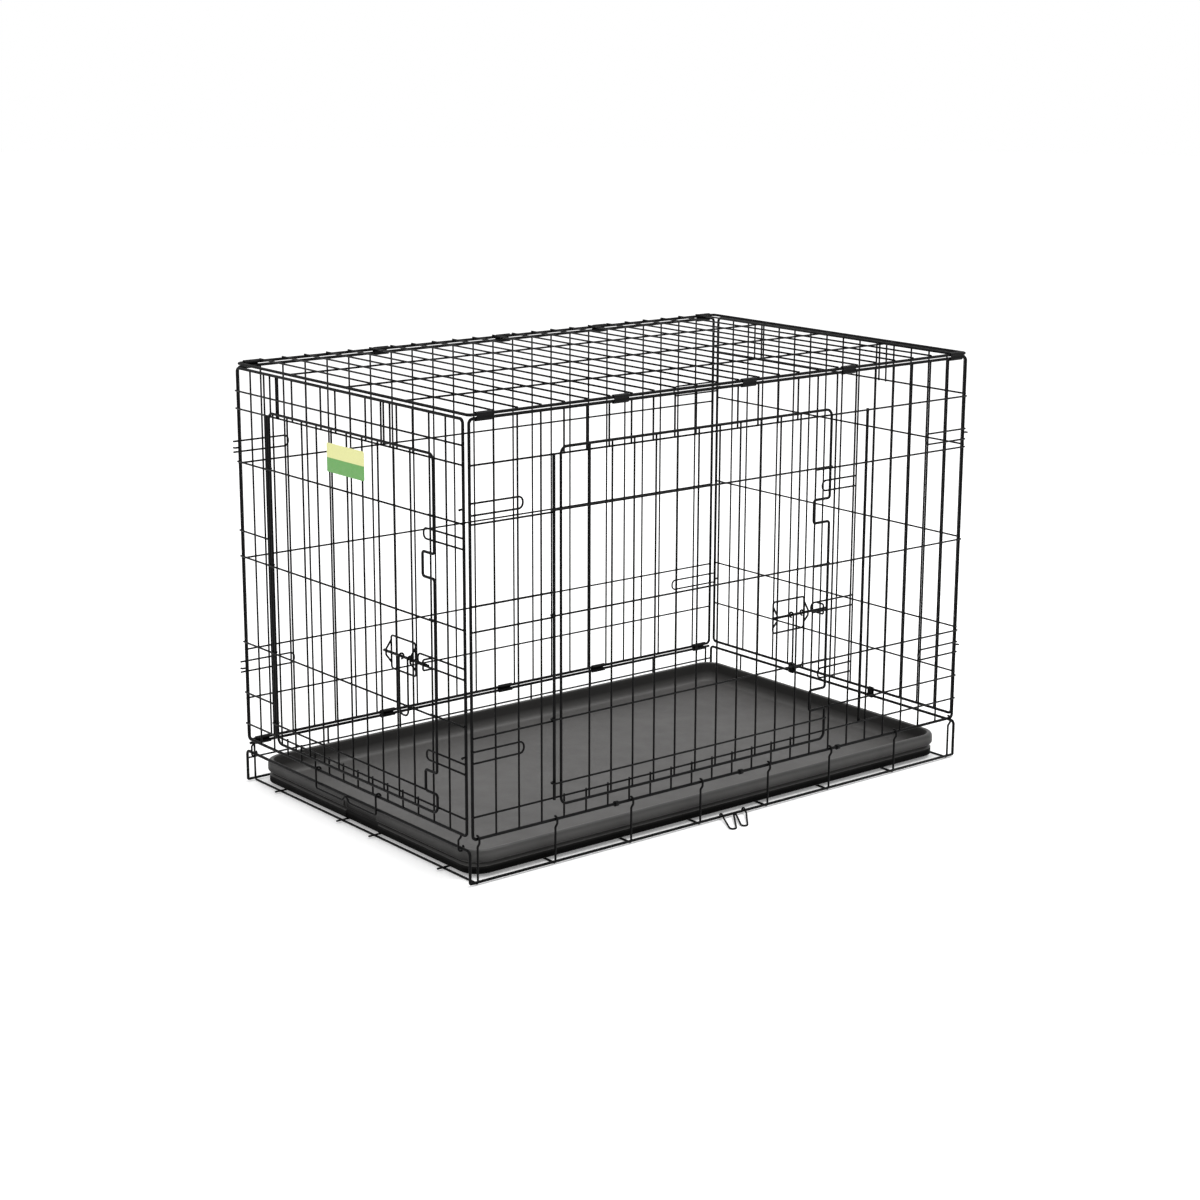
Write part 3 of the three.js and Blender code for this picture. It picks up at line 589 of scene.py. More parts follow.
def painted_tray_shade(made, height, centre):
    """From 0 to 1, how much painted shade darkens the tray's upright walls: low down outside, over the whole left
    end, and high up inside.
    """
    facing = made.add("ShaderNodeNewGeometry").outputs["Normal"]
    parts = made.add("ShaderNodeSeparateXYZ", {"Vector": facing}).outputs
    from_centre = made.add("ShaderNodeMapping", {"Vector": made.object, "Location": -centre}).outputs["Vector"]
    outwards = made.add("ShaderNodeVectorMath", {0: facing, 1: from_centre}, operation="DOT_PRODUCT")
    outer = made.fit(outwards.outputs["Value"], -0.02, 0.02, 0, 1)
    inner = made.fit(outer, 0, 1, 1, 0)
    upright = made.fit(made.maths("ABSOLUTE", parts["Z"]), 0.5, 0.85, 1, 0)
    left_end = made.fit(parts["X"], -0.9, -0.5, 1, 0)

    def by_height(low, high, at_low, at_high):
        return made.fit(height, MIDDLE.z + low * MM, MIDDLE.z + high * MM, at_low, at_high)

    # Painted shade at the foot of the outer walls, fading upwards.
    foot = by_height(5, 26, 1, 0.14)
    # Painted shade over the left end's outer wall.
    end = made.maths("MULTIPLY", left_end, by_height(12, 30, 0.9, 0.3))
    outside = made.maths("MULTIPLY", made.maths("MAXIMUM", foot, end), outer)
    # Painted shade on the inner walls, darker towards the top.
    inside = made.maths("MULTIPLY", inner, by_height(7, 19, 0, 0.66))
    return made.maths("MULTIPLY", upright, made.maths("MAXIMUM", outside, inside))


def tray_plastic(centre):
    """Dark moulded plastic: a pebbled grain, faint clouding, paw scuffs, a smoother rim and painted shade on its
    walls.
    """
    made = Nodes(bpy.data.materials.new("moulded_tray"))
    base = bpy.context.scene.crate_finish.tray
    height = made.add("ShaderNodeSeparateXYZ", {"Vector": made.object}).outputs["Z"]
    rim = made.fit(height, *(MIDDLE.z + z * MM for z in TRAY_RIM_FADE), 0, 1)
    cloud = made.blend(made.fit(made.noise(5, 3), 0.35, 0.65, 0, 1), rgba(base, 0.9), rgba(base, 1.08))
    scuffs = made.fit(made.noise(60, 5, 0.7, made.stretched(0.35, 2.6, 1)), 0.6, 0.78, 0, 0.4)
    worn = made.blend(scuffs, cloud, rgba(base, 1.45))
    rimmed = made.blend(rim, worn, rgba(base, 0.7))
    shade = painted_tray_shade(made, height, centre)
    # Painted shade: the walls are mixed towards near-black, and their specular level drops with it.
    made.put(made.blend(shade, rimmed, rgba(base, 0.03)), made.shader.inputs["Base Color"])
    made.put(made.fit(shade, 0, 0.8, 0.42, 0.03), made.shader.inputs["Specular IOR Level"])
    rough = made.fit(made.noise(26, 4), 0.3, 0.7, 0.5, 0.62)
    smoother = made.maths("SUBTRACT", rough, made.maths("MULTIPLY", rim, 0.14))
    made.put(smoother, made.shader.inputs["Roughness"])
    pebbles = made.add("ShaderNodeTexVoronoi", {"Vector": made.object, "Scale": 620.0}, feature="SMOOTH_F1")
    wave = made.bump(made.noise(14, 2), 0.0004, 0.5)
    grain = made.bump(pebbles.outputs["Distance"], 0.00022, 0.7, wave)
    made.put(grain, made.shader.inputs["Normal"])
    return made.owner


def card_stock(split):
    """Plain card, pale over green, with paper fibre."""
    made = Nodes(bpy.data.materials.new("two_tone_card"))
    finish = bpy.context.scene.crate_finish
    height = made.add("ShaderNodeSeparateXYZ", {"Vector": made.object}).outputs["Z"]
    upper = made.fit(height, split - 0.0002, split + 0.0002, 0, 1)
    two_tone = made.blend(upper, rgba(finish.card_low), rgba(finish.card_top))
    fibre = made.noise(420, 4, 0.7)
    shade = made.fit(fibre, 0.3, 0.7, 0.0, 0.12)
    made.put(made.blend(shade, two_tone, rgba(finish.card_top, 0.6)), made.shader.inputs["Base Color"])
    made.put(made.fit(made.noise(90, 3), 0.3, 0.7, 0.42, 0.6), made.shader.inputs["Roughness"])
    made.put(made.bump(fibre, 0.00004, 0.5), made.shader.inputs["Normal"])
    return made.owner


# ---- Operators ------------------------------------------------------------------------------------


class BuildBase(bpy.types.Operator):
    """Floor frame: cross wires with hooks for the front wall, runners and the hoops at both ends"""

    bl_idname = "crate.build_base"
    bl_label = "Base wires"

    def execute(self, context):
        sizes = wires()
        first, *others = (bay * SIDE_PITCH - HALF_L for bay in STEMS)
        stem = bent([
            (spot(first, HALF_W, REAR_ROD), 0),
            (spot(first, HALF_W, FLOOR_Z), 4),
            (spot(first, -HALF_W, FLOOR_Z), 4),
            (spot(first, -HALF_W, STEM_KNEE), 4),
            (spot(first, -HALF_W - STEM_HOLD, STEM_NECK), 3),
            (spot(first, -HALF_W - STEM_HOLD, SIDE_FOOT + STEM_HOLD), STEM_HOLD),
            (spot(first, -HALF_W + STEM_TIP, SIDE_FOOT + STEM_HOLD), 0),
        ], sizes.floor)
        made = [stem, *(copied(stem, Vector((x - first, 0, 0)) * MM) for x in others)]
        made += row_of(
            spot(-END_X, -HALF_W, RUNNER_Z), spot(END_X, -HALF_W, RUNNER_Z), sizes.bolt,
            [Vector((0, WIDTH, 0)) * MM],
        )
        made.append(straight(spot(-END_X, GUIDE_Y, GUIDE_Z), spot(END_X, GUIDE_Y, GUIDE_Z), sizes.grille))
        made.append(straight(spot(-HALF_L, HALF_W, REAR_ROD), spot(HALF_L, HALF_W, REAR_ROD), sizes.frame))
        made += row_of(
            spot(-END_X, -INNER_Y, INNER_Z), spot(END_X, -INNER_Y, INNER_Z), sizes.grille,
            [Vector((0, 2 * INNER_Y, 0)) * MM],
        )
        for y in (-OUTER_Y, OUTER_Y):
            route = [(spot(-END_X, y, INNER_Z), 0), (spot(END_X, y, INNER_Z), 5), (spot(END_X, y, RIGHT_ROD), 0)]
            made.append(bent(route, sizes.grille))
        for x, height in ((-END_X, LEFT_ROD), (END_X, RIGHT_ROD)):
            route = [
                (spot(x, -HALF_W, RUNNER_Z), 0),
                (spot(x, -HALF_W, height), FRAME_CORNER),
                (spot(x, HALF_W, height), FRAME_CORNER),
                (spot(x, HALF_W, RUNNER_Z), 0),
            ]
            made.append(bent(route, sizes.frame))
        finished(made, "base_wires", wire_coat(), "base", ["base_frame"])
        return {"FINISHED"}


class BuildFrontWall(bpy.types.Operator):
    """Long wall with the side doorway: frame, grille, hinge rod, stops, keeper and corner catches"""

    bl_idname = "crate.build_front_wall"
    bl_label = "Front wall wires"

    def execute(self, context):
        spec = SIDE_DOOR
        low, high = spec["rails"]
        made = [rectangle(FRONT, 0, LENGTH, SIDE_FOOT, WALL_TOP, wires().frame, FRAME_CORNER)]
        made += doorway(FRONT, spec) + corner_catches(FRONT, LAP)
        edge = spec["edge_bay"] * SIDE_PITCH
        inside = [u for u in SIDE_PLACES if spec["rod"] < u < edge]
        outside = [u for u in SIDE_PLACES if u not in inside]
        made += uprights(FRONT, outside, SIDE_FOOT, WALL_TOP)
        made += uprights(FRONT, inside, SIDE_FOOT, low + LAP)
        made += uprights(FRONT, inside, high - LAP, WALL_TOP)
        made += crosses(FRONT, -LAP, LENGTH + LAP, (low, high))
        made += crosses(FRONT, -LAP, spec["rod"] + LAP, spec["rod_side"])
        made += crosses(FRONT, edge - LAP, LENGTH + LAP, spec["edge_side"])
        made.append(straight(FRONT.at(STOUT_UPRIGHT, low - LAP), FRONT.at(STOUT_UPRIGHT, high + LAP), wires().frame))
        nodes = ["front_panel", "side_door_rod", "side_keeper"]
        finished(made, "front_wall_wires", wire_coat(), "front_wall", nodes)
        return {"FINISHED"}


class BuildRearWall(bpy.types.Operator):
    """Plain long wall at the rear"""

    bl_idname = "crate.build_rear_wall"
    bl_label = "Rear wall wires"

    def execute(self, context):
        made = [rectangle(REAR, 0, LENGTH, SIDE_FOOT, WALL_TOP, wires().frame, FRAME_CORNER)]
        made += corner_catches(REAR, REAR_LAP)
        made += uprights(REAR, SIDE_PLACES, SIDE_FOOT, WALL_TOP)
        made += crosses(REAR, -LAP, LENGTH + LAP, REAR_CROSSES)
        finished(made, "rear_wall_wires", wire_coat(), "rear_wall", ["rear_panel"])
        return {"FINISHED"}


class BuildLeftEnd(bpy.types.Operator):
    """End wall with the end doorway, its hooks and the eyes that it swings on"""

    bl_idname = "crate.build_left_end"
    bl_label = "Left end wires"

    def execute(self, context):
        spec = END_DOOR
        low, high = spec["rails"]
        made = [rectangle(LEFT, END_LEFT, END_RIGHT, END_FOOT, WALL_TOP, wires().frame, FRAME_CORNER)]
        made += doorway(LEFT, spec) + end_hooks(LEFT)
        edge = END_INSET + spec["edge_bay"] * END_PITCH
        inside = [u for u in END_PLACES if spec["rod"] < u < edge]
        outside = [u for u in END_PLACES if u not in inside]
        made += uprights(LEFT, outside, END_FOOT, WALL_TOP)
        made += uprights(LEFT, inside, END_FOOT, low + LAP)
        made += uprights(LEFT, [*inside, *PRONGS], high - LAP, WALL_TOP)
        made += crosses(LEFT, END_LEFT - LAP, END_RIGHT + LAP, (low, high, LEFT_TOP_CROSS))
        made += crosses(LEFT, END_LEFT - LAP, spec["rod"] + LAP, spec["rod_side"])
        made += crosses(LEFT, edge - LAP, END_RIGHT + LAP, spec["edge_side"])
        for u in (END_LEFT + EYE_IN, END_RIGHT - EYE_IN):
            neck = [(LEFT.at(u, END_FOOT), 0), (LEFT.at(u, NECK_TOP), 2), (LEFT.at(u, NECK_LOW, EYE_REACH), 2)]
            ring = circle_route(LEFT.at(u, LEFT_ROD, 0), LEFT.out, LEFT.up, EYE_REACH, 0, -225)
            made.append(bent([*neck, *ring], wires().eye))
        nodes = ["left_end_panel", "end_door_rod", "end_keeper", "left_end_eye_1", "left_end_eye_2"]
        nodes += [f"left_end_hook_{i}" for i in range(1, 5)]
        finished(made, "left_end_wires", wire_coat(), "left_end", nodes)
        return {"FINISHED"}


class BuildRightEnd(bpy.types.Operator):
    """Plain end wall with its hooks"""

    bl_idname = "crate.build_right_end"
    bl_label = "Right end wires"

    def execute(self, context):
        made = [rectangle(RIGHT, END_LEFT, END_RIGHT, END_FOOT, WALL_TOP, wires().frame, FRAME_CORNER)]
        made += end_hooks(RIGHT)
        made += uprights(RIGHT, END_PLACES, END_FOOT, WALL_TOP)
        made += uprights(RIGHT, [WIDTH - u for u in PRONGS], RIGHT_CROSSES[-1] - LAP, WALL_TOP)
        made += crosses(RIGHT, END_LEFT - LAP, END_RIGHT + LAP, RIGHT_CROSSES)
        nodes = ["right_end_panel", *(f"right_end_hook_{i}" for i in range(1, 5))]
        finished(made, "right_end_wires", wire_coat(), "right_end", nodes)
        return {"FINISHED"}


class BuildRoof(bpy.types.Operator):
    """Roof: frame, wires across it and three under them along it"""

    bl_idname = "crate.build_roof"
    bl_label = "Roof wires"

    def execute(self, context):
        made = [rectangle(TOP, 0, LENGTH, 0, WIDTH, wires().frame, FRAME_CORNER)]
        made += uprights(TOP, SIDE_PLACES, -LAP, WIDTH + LAP, CROSS_W)
        made += crosses(TOP, 0, LENGTH, [k * WIDTH / 4 for k in range(1, 4)], UP_W)
        finished(made, "roof_wires", wire_coat(), "roof", ["top_panel"])
        return {"FINISHED"}


class BuildDoors(bpy.types.Operator):
    """Both doors with their loops, latch plates and staples"""

    bl_idname = "crate.build_doors"
    bl_label = "Door wires"

    def execute(self, context):
        for wall, spec, name in ((FRONT, SIDE_DOOR, "side_door"), (LEFT, END_DOOR, "end_door")):
            finished(door(wall, spec), f"{name}_wires", wire_coat(), name, [name])
        return {"FINISHED"}


class BuildLatches(bpy.types.Operator):
    """Slide bolts and the levers that hang from them"""

    bl_idname = "crate.build_latches"
    bl_label = "Latches"

    def execute(self, context):
        for wall, spec, name in ((FRONT, SIDE_DOOR, "side"), (LEFT, END_DOOR, "end")):
            start, end = spec["bolt_ends"]
            v = spec["bolt"]
            bar = straight(wall.at(start, v, BOLT_W), wall.at(end, v, BOLT_W), wires().bolt)
            finished([bar], f"{name}_bolt_wire", wire_coat(), f"{name}_bolt", [f"{name}_bolt"])
            left, right = spec["lever"]
            bend = (right - left) * 0.42
            eyes = [
                circle_route(wall.at(u, v, BOLT_W), wall.out, wall.up, BOLT_LOOP, 270, 0) for u in (left, right)
            ]
            foot = v - LEVER_DROP
            hoop = [(wall.at(left, foot, STAPLE_W), bend), (wall.at(right, foot, STAPLE_W), bend)]
            lever = bent([*eyes[0], *hoop, *reversed(eyes[1])], wires().grille)
            finished([lever], f"{name}_lever_wire", wire_coat(), f"{name}_lever", [f"{name}_lever"])
        return {"FINISHED"}


def strap(span, apart, pressed=False):
    """A strip bent round two wires, drawn at the origin along X. A pressed one is crimped, and open at the back."""
    fit = bpy.context.scene.crate_fittings
    half, inner = apart * MM / 2, STRAP_BORE * MM
    start = (-span * MM / 2, 0, 0)
    bpy.ops.object.select_all(action="DESELECT")
    bpy.ops.mesh.primitive_circle_add(
        vertices=STRAP_SIDES, radius=inner, location=start, rotation=(0, math.pi / 2, 0)
    )
    bpy.ops.transform.rotate(value=math.pi / STRAP_SIDES, orient_axis="X", center_override=start)
    bpy.ops.object.transform_apply(location=True, rotation=True, scale=True)
    bpy.ops.object.mode_set(mode="EDIT")
    bpy.ops.mesh.select_mode(type="EDGE")
    bpy.ops.mesh.select_all(action="SELECT")
    bpy.ops.mesh.extrude_region_move(TRANSFORM_OT_translate={"value": (span * MM, 0, 0)})
    for way in (1, -1):
        choose(lambda p, way=way: p.y * way > 0, "VERT")
        bpy.ops.transform.translate(value=(0, way * half, 0))
    if pressed:
        choose(lambda p: abs(p.y) < inner * 0.1 and p.z > 0, "FACE")
        bpy.ops.mesh.inset(thickness=STRAP_MARGIN * MM, depth=0)
        bpy.ops.transform.translate(value=(0, 0, -fit.strap_crimp))
        choose(lambda p: abs(p.y) < inner * 0.1 and p.z < 0, "FACE")
        bpy.ops.mesh.inset(thickness=STRAP_SEAM * MM, depth=0, use_boundary=False)
        bpy.ops.mesh.delete(type="FACE")
    bpy.ops.mesh.select_mode(type="FACE")
    bpy.ops.mesh.select_all(action="SELECT")
    bpy.ops.mesh.normals_make_consistent(inside=False)
    bpy.ops.object.mode_set(mode="OBJECT")
    piece = bpy.context.object
    applied(piece, "SOLIDIFY", thickness=fit.strap_wall, offset=1.0)
    applied(piece, "BEVEL", width=STRAP_EDGE * MM, segments=2, limit_method="ANGLE", angle_limit=math.radians(50))
    return piece


def choose(test, kind):
    """Selects in edit mode what lies where the test says, by vertices or by face middles."""
    bpy.ops.mesh.select_mode(type=kind)
    bpy.ops.mesh.select_all(action="DESELECT")
    bpy.ops.object.mode_set(mode="OBJECT")
    mesh = bpy.context.object.data
    for item in mesh.vertices if kind == "VERT" else mesh.polygons:
        item.select = test(item.co if kind == "VERT" else item.center)
    bpy.ops.object.mode_set(mode="EDIT")


def applied(piece, kind, **settings):
    pick(piece)
    bpy.ops.object.modifier_add(type=kind)
    modifier = piece.modifiers[-1]
    for key, value in settings.items():
        setattr(modifier, key, value)
    bpy.ops.object.modifier_apply(modifier=modifier.name)


def placed(template, wall, name, body, node, u, v):
    copy = copied(template, (0, 0, 0))
    copy.matrix_world = wall.matrix(u, v)
    finished([copy], name, strap_coat(), body, [node], smooth=35)


class BuildStraps(bpy.types.Operator):
    """Long straps at the roof's edges and along the rear wall's foot"""

    bl_idname = "crate.build_straps"
    bl_label = "Hinge straps"

    def execute(self, context):
        template = strap(STRAP_SPAN, STACK, pressed=True)
        top, foot = WALL_TOP + STACK / 2, SIDE_FOOT - STACK / 2
        for i, u in enumerate(CLIPS, 1):
            placed(template, FRONT, f"front_top_strap_{i}", "front_wall", f"front_top_clip_{i}", u, top)
            placed(template, REAR, f"rear_top_strap_{i}", "roof", f"rear_top_clip_{i}", LENGTH - u, top)
            placed(template, REAR, f"rear_bottom_strap_{i}", "rear_wall", f"rear_bottom_clip_{i}", LENGTH - u, foot)
        bpy.data.objects.remove(template)
        return {"FINISHED"}


class BuildCollars(bpy.types.Operator):
    """Short collars on the front wall's foot and the rings that the right end hangs on"""

    bl_idname = "crate.build_collars"
    bl_label = "Collars and rings"

    def execute(self, context):
        template = strap(COLLAR_SPAN, COLLAR_APART)
        for i, u in enumerate(COLLARS, 1):
            placed(template, FRONT, f"front_collar_{i}", "front_wall", f"front_bottom_clip_{i}", u, SIDE_FOOT)
        bpy.data.objects.remove(template)
        template = strap(RING_SPAN, END_FOOT - RIGHT_ROD)
        between = (END_FOOT + RIGHT_ROD) / 2
        for i, u in enumerate(RINGS, 1):
            placed(template, RIGHT, f"right_end_loop_{i}", "right_end", f"right_end_ring_{i}", u, between)
        bpy.data.objects.remove(template)
        return {"FINISHED"}


class BuildTray(bpy.types.Operator):
    """Slide-out tray: thick foot, wall, rolled rim and dished floor, with a finger grip at the door end"""

    bl_idname = "crate.build_tray"
    bl_label = "Tray"

    def execute(self, context):
        fit = context.scene.crate_fittings
        low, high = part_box("pan")
        centre, size = (low + high) / 2, high - low
        level = MIDDLE.z + TRAY_SEAM * MM
        bpy.ops.object.select_all(action="DESELECT")
        bpy.ops.mesh.primitive_plane_add(size=1, location=(centre.x, centre.y, level))
        bpy.ops.transform.resize(value=(size.x, size.y, 1))
        bpy.ops.object.transform_apply(location=True, rotation=True, scale=True)
        bpy.ops.object.mode_set(mode="EDIT")
        bpy.ops.mesh.select_mode(type="VERT")
        bpy.ops.mesh.select_all(action="SELECT")
        bpy.ops.mesh.bevel(offset=fit.tray_corner, segments=12, affect="VERTICES")
        bpy.ops.mesh.select_mode(type="FACE")
        bpy.ops.mesh.select_all(action="SELECT")

        def profile(points, start):
            """Takes the chosen face from its place at the start through the rings."""
            inset, z = start
            for to_inset, to_z in points:
                inwards = (to_inset - inset) * MM
                if inwards > 0:
                    bpy.ops.mesh.inset(thickness=inwards, depth=0)
                else:
                    bpy.ops.mesh.extrude_region_move(TRANSFORM_OT_translate={"value": (0, 0, 0)})
                    wide = size.x - 2 * inset * MM, size.y - 2 * inset * MM
                    grow = [(side - 2 * inwards) / side for side in wide]
                    bpy.ops.transform.resize(value=(*grow, 1), center_override=(centre.x, centre.y, level))
                bpy.ops.transform.translate(value=(0, 0, (to_z - z) * MM))
                inset, z = to_inset, to_z

        bpy.ops.mesh.extrude_region_move(TRANSFORM_OT_translate={"value": (0, 0, (TRAY_LIP - TRAY_SEAM) * MM)})
        profile((*TRAY_RIM, *TRAY_DISH), (0, TRAY_LIP))
        choose(lambda p: abs(p.z - level) < NEAR, "FACE")
        profile((*TRAY_GROOVE, *TRAY_FOOT), (0, TRAY_SEAM))
        bpy.ops.mesh.select_all(action="SELECT")
        bpy.ops.mesh.remove_doubles(threshold=NO_RUN)
        bpy.ops.mesh.normals_make_consistent(inside=False)
        bpy.ops.object.mode_set(mode="OBJECT")
        tray = bpy.context.object
        bpy.ops.object.select_all(action="DESELECT")
        bpy.ops.mesh.primitive_cube_add(size=1, location=(low.x, MIDDLE.y, MIDDLE.z + GRIP_MIDDLE * MM))
        bpy.ops.transform.resize(value=(2 * fit.grip_depth, fit.grip_width, GRIP_HEIGHT * MM))
        bpy.ops.object.transform_apply(location=True, rotation=True, scale=True)
        cutter = bpy.context.object
        applied(cutter, "BEVEL", width=GRIP_ROUND * MM, segments=4)
        applied(tray, "BOOLEAN", object=cutter, operation="DIFFERENCE", solver="EXACT")
        bpy.data.objects.remove(cutter)
        finished([tray], "moulded_tray", tray_plastic(centre), "pan", ["pan"], smooth=32)
        return {"FINISHED"}


class BuildTrayStop(bpy.types.Operator):
    """Wire that hangs from the left end over the tray's edge, with a thumb bend"""

    bl_idname = "crate.build_tray_stop"
    bl_label = "Tray stop"

    def execute(self, context):
        thumb = (STOP_LEFT + STOP_RIGHT) / 2

        def eye(u):
            return circle_route(LEFT.at(u, END_FOOT), LEFT.out, LEFT.up, EYE_REACH, 225, 0)

        bar = [
            (LEFT.at(STOP_LEFT, STOP_FOOT, EYE_REACH), 4),
            (LEFT.at(thumb - STOP_THUMB, STOP_FOOT, EYE_REACH), 4),
            (LEFT.at(thumb, STOP_FOOT + STOP_THUMB, EYE_REACH), 3),
            (LEFT.at(thumb + STOP_THUMB, STOP_FOOT, EYE_REACH), 4),
            (LEFT.at(STOP_RIGHT, STOP_FOOT, EYE_REACH), 4),
        ]
        made = bent([*eye(STOP_LEFT), *bar, *reversed(eye(STOP_RIGHT))], wires().eye)
        finished([made], "tray_stop_wire", wire_coat(), "pan_stop", ["pan_stop"])
        return {"FINISHED"}


class BuildStorageCatch(bpy.types.Operator):
    """W of wire hooked over the front runner, lying out on the floor"""

    bl_idname = "crate.build_storage_catch"
    bl_label = "Storage catch"

    def execute(self, context):
        def leg(x, share):
            """A place on the leg that starts at x, from 0 at the runner to 1 at its far end."""
            y = -HALF_W - STORE_HOLD - STORE_OUT * share
            return spot(x - STORE_ASIDE * share, y, RUNNER_Z - (RUNNER_Z - STORE_FOOT) * share)

        def hook(x):
            round_runner = circle_route(spot(x, -HALF_W, RUNNER_Z), BASE.up, BASE.out, STORE_HOLD, -22, 120)
            return [*round_runner[:-1], (leg(x, 0.13), 2.5)]

        first, second = ([(leg(x + side * STORE_HALF_TURN, 1), 4.6) for side in (-1, 1)] for x in STORE_TURNS)
        peak = [(leg(x, 0.02), 1.6) for x in STORE_PEAK]
        start, end = (hook(x) for x in STORE_HOOKS)
        route = [*start, *first, *peak, *second, *reversed(end)]
        made = bent(route, wires().grille)
        finished([made], "storage_catch_wire", wire_coat(), "storage_catch", ["storage_catch"])
        return {"FINISHED"}


class BuildCard(bpy.types.Operator):
    """Plain two-tone card on the end door, with rounded corners and a slight bow"""

    bl_idname = "crate.build_card"
    bl_label = "Card"

    def execute(self, context):
        fit = context.scene.crate_fittings
        bpy.ops.object.select_all(action="DESELECT")
        bpy.ops.mesh.primitive_plane_add(size=1, location=(0, 0, 0))
        bpy.ops.transform.resize(value=(CARD_WIDE * MM, CARD_TALL * MM, 1))
        bpy.ops.object.transform_apply(location=True, rotation=True, scale=True)
        bpy.ops.object.mode_set(mode="EDIT")
        bpy.ops.mesh.select_mode(type="VERT")
        bpy.ops.mesh.select_all(action="SELECT")
        bpy.ops.mesh.bevel(offset=fit.card_corner, segments=5, affect="VERTICES")
        cuts = [x * MM for x in CARD_CUTS]
        for x in cuts:
            bpy.ops.mesh.select_all(action="SELECT")
            bpy.ops.mesh.bisect(plane_co=(x, 0, 0), plane_no=(1, 0, 0))
        right_cuts = [x for x in cuts if x > 0]
        for x in right_cuts:
            choose(lambda p, x=x: abs(p.x) < x + NEAR, "VERT")
            bpy.ops.transform.translate(value=(0, 0, fit.card_curl / len(right_cuts)))
        bpy.ops.object.mode_set(mode="OBJECT")
        card = bpy.context.object
        applied(card, "SOLIDIFY", thickness=CARD_THICK * MM, offset=1.0)
        applied(card, "BEVEL", width=CARD_EDGE * MM, segments=2, limit_method="ANGLE", angle_limit=math.radians(50))
        low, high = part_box("label_card")
        card.matrix_world = LEFT.matrix(CARD_LEFT + CARD_WIDE / 2, CARD_FOOT + CARD_TALL / 2, CARD_W)
        stock = card_stock((low.z + high.z) / 2)
        finished([card], "two_tone_card", stock, "end_door", ["label_card"], smooth=30)
        return {"FINISHED"}


def background_rays(made, plain, shown):
    """Shows one shader to what looks at the background, and lights the crate with the other."""
    path = made.add("ShaderNodeLightPath").outputs
    seen = made.maths("MAXIMUM", path["Is Camera Ray"], path["Is Glossy Ray"])
    seen = made.maths("MAXIMUM", seen, path["Is Transmission Ray"])
    return made.add("ShaderNodeMixShader", {0: seen, 1: plain, 2: shown}).outputs[0]


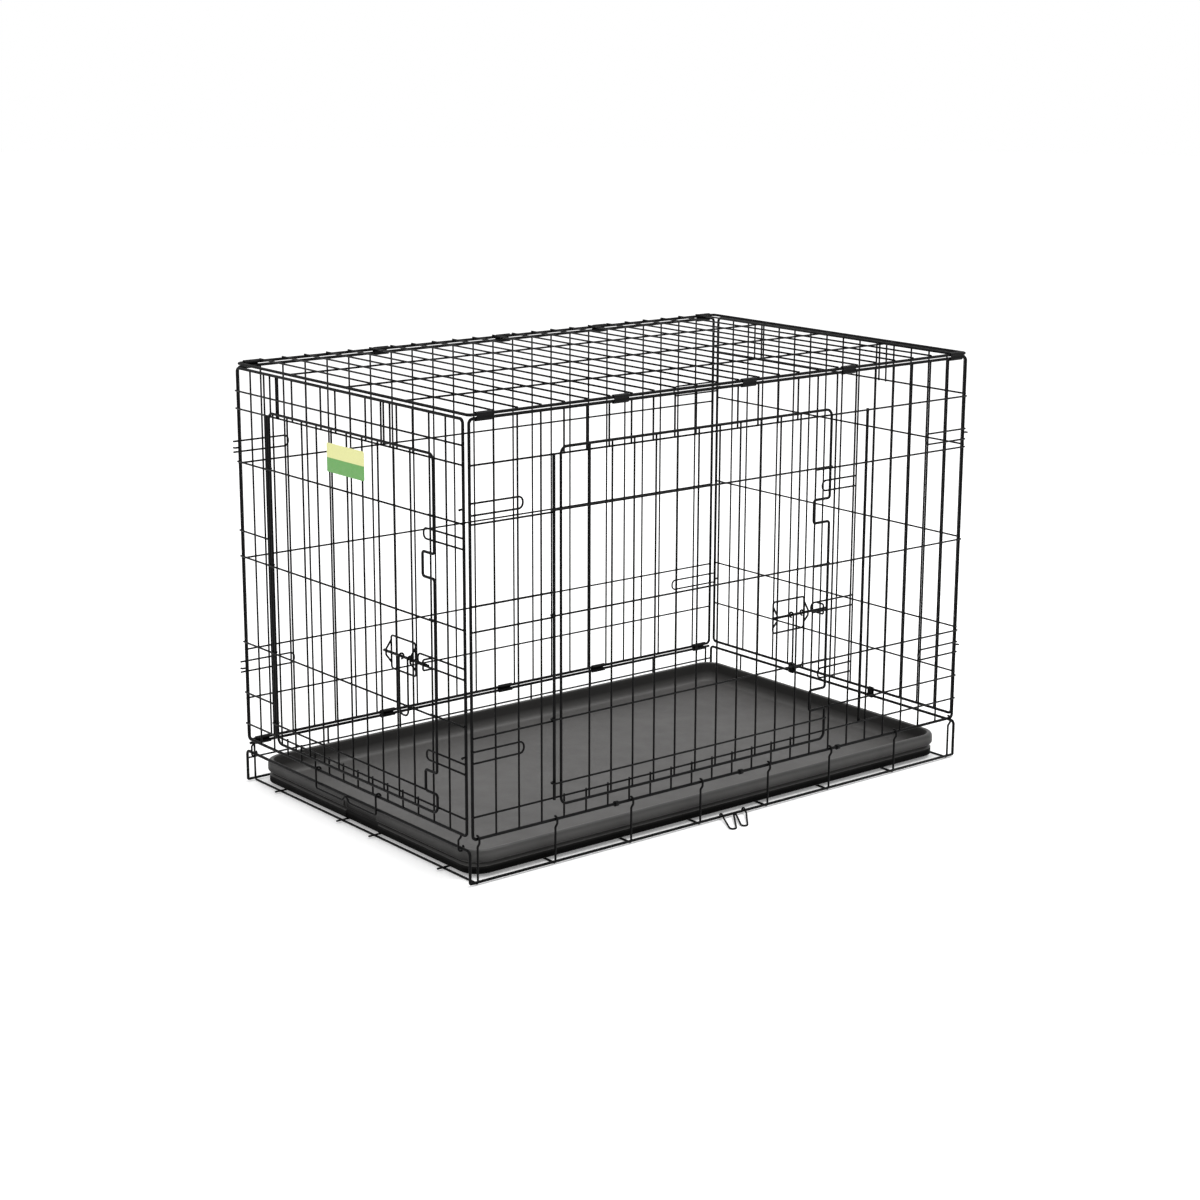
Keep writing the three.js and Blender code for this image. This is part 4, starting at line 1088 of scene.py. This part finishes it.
class BuildStage(bpy.types.Operator):
    """Pale floor, soft studio light and the camera"""

    bl_idname = "crate.build_stage"
    bl_label = "Studio"

    def execute(self, context):
        bpy.ops.object.select_all(action="DESELECT")
        bpy.ops.mesh.primitive_circle_add(vertices=64, radius=FLOOR_RADIUS, fill_type="NGON", location=(0, 0, 0))
        floor = bpy.context.object
        floor.name = "studio_floor"
        made = Nodes(bpy.data.materials.new("pale_floor"))
        base = context.scene.crate_finish.floor
        tone = made.blend(made.noise(3, 3), rgba(base, 0.985), rgba(base))
        made.put(tone, made.shader.inputs["Base Color"])
        made.shader.inputs["Roughness"].default_value = 0.9
        made.shader.inputs["Specular IOR Level"].default_value = 0.1
        away = made.add("ShaderNodeVectorMath", {0: made.object}, operation="LENGTH").outputs["Value"]
        strength = made.fit(away, GLOW_START, GLOW_END, GLOW_NEAR, GLOW_FAR)
        glow = made.add("ShaderNodeEmission", {"Color": WHITE, "Strength": strength}).outputs[0]
        lit = made.add("ShaderNodeBsdfDiffuse", {"Color": WHITE}).outputs[0]
        shown = made.add("ShaderNodeAddShader", {0: glow, 1: lit}).outputs[0]
        surface = background_rays(made, made.shader.outputs[0], shown)
        made.put(surface, made.tree.nodes["Material Output"].inputs["Surface"])
        floor.data.materials.append(made.owner)

        context.scene.world = bpy.data.worlds.new("studio_air")
        air = Nodes(context.scene.world)
        air.shader.inputs["Color"].default_value = WHITE
        air.shader.inputs["Strength"].default_value = AIR_LIGHT
        white = air.add("ShaderNodeBackground", {"Color": WHITE, "Strength": 1})
        sky = background_rays(air, air.shader.outputs[0], white.outputs[0])
        air.put(sky, air.tree.nodes["World Output"].inputs["Surface"])

        for name, place, size, power in LAMPS:
            bpy.ops.object.light_add(type="AREA", location=place)
            lamp = bpy.context.object
            lamp.name = name
            lamp.data.shape = "DISK"
            lamp.data.size = size
            lamp.data.energy = power
            aim = Vector(LAMP_TARGET) - Vector(place)
            lamp.rotation_euler = aim.to_track_quat("-Z", "Y").to_euler()

        bpy.ops.object.camera_add(location=CAMERA_PLACE)
        camera = bpy.context.object
        camera.name = "studio_camera"
        turn, tip, roll = CAMERA_TURN, CAMERA_TIP, CAMERA_ROLL
        ahead = Vector((math.cos(tip) * math.sin(turn), math.cos(tip) * math.cos(turn), math.sin(tip)))
        level = Vector((math.cos(turn), -math.sin(turn), 0))
        upward = level.cross(ahead)
        right = level * math.cos(roll) + upward * math.sin(roll)
        above = upward * math.cos(roll) - level * math.sin(roll)
        camera.rotation_euler = Matrix((right, above, -ahead)).transposed().to_euler()
        camera.data.sensor_width = CAMERA_SENSOR
        camera.data.lens = CAMERA_LENS
        context.scene.camera = camera
        context.scene.view_settings.view_transform = "Standard"
        return {"FINISHED"}


class CratePanel(bpy.types.Panel):
    """Lists the crate's pieces, sizes and colours"""

    bl_idname = "VIEW3D_PT_crate"
    bl_label = "Wire Dog Crate"
    bl_space_type = "VIEW_3D"
    bl_region_type = "UI"
    bl_category = "Crate"

    def draw(self, context):
        for title, group in (("Wires", "crate_wires"), ("Fittings", "crate_fittings"), ("Colours", "crate_finish")):
            box = self.layout.box()
            box.label(text=title)
            settings = getattr(context.scene, group)
            for key in settings.__annotations__:
                box.prop(settings, key)
        column = self.layout.column(align=True)
        for operator in BUILDERS:
            column.operator(operator.bl_idname)


BUILDERS = (
    BuildBase, BuildFrontWall, BuildRearWall, BuildLeftEnd, BuildRightEnd, BuildRoof, BuildDoors, BuildLatches,
    BuildStraps, BuildCollars, BuildTray, BuildTrayStop, BuildStorageCatch, BuildCard, BuildStage,
)
GROUPS = {"crate_wires": CrateWires, "crate_fittings": CrateFittings, "crate_finish": CrateFinish}


def register():
    for item in (*GROUPS.values(), *BUILDERS, CratePanel):
        bpy.utils.register_class(item)
    for name, group in GROUPS.items():
        setattr(bpy.types.Scene, name, PointerProperty(type=group))


def unregister():
    for name in GROUPS:
        delattr(bpy.types.Scene, name)
    for item in (CratePanel, *reversed(BUILDERS), *GROUPS.values()):
        bpy.utils.unregister_class(item)


def main():
    register()
    for operator in BUILDERS:
        area, name = operator.bl_idname.split(".")
        bpy.context.tool_settings.mesh_select_mode = (False, False, True)
        getattr(getattr(bpy.ops, area), name)()


if __name__ == "__main__":
    main()
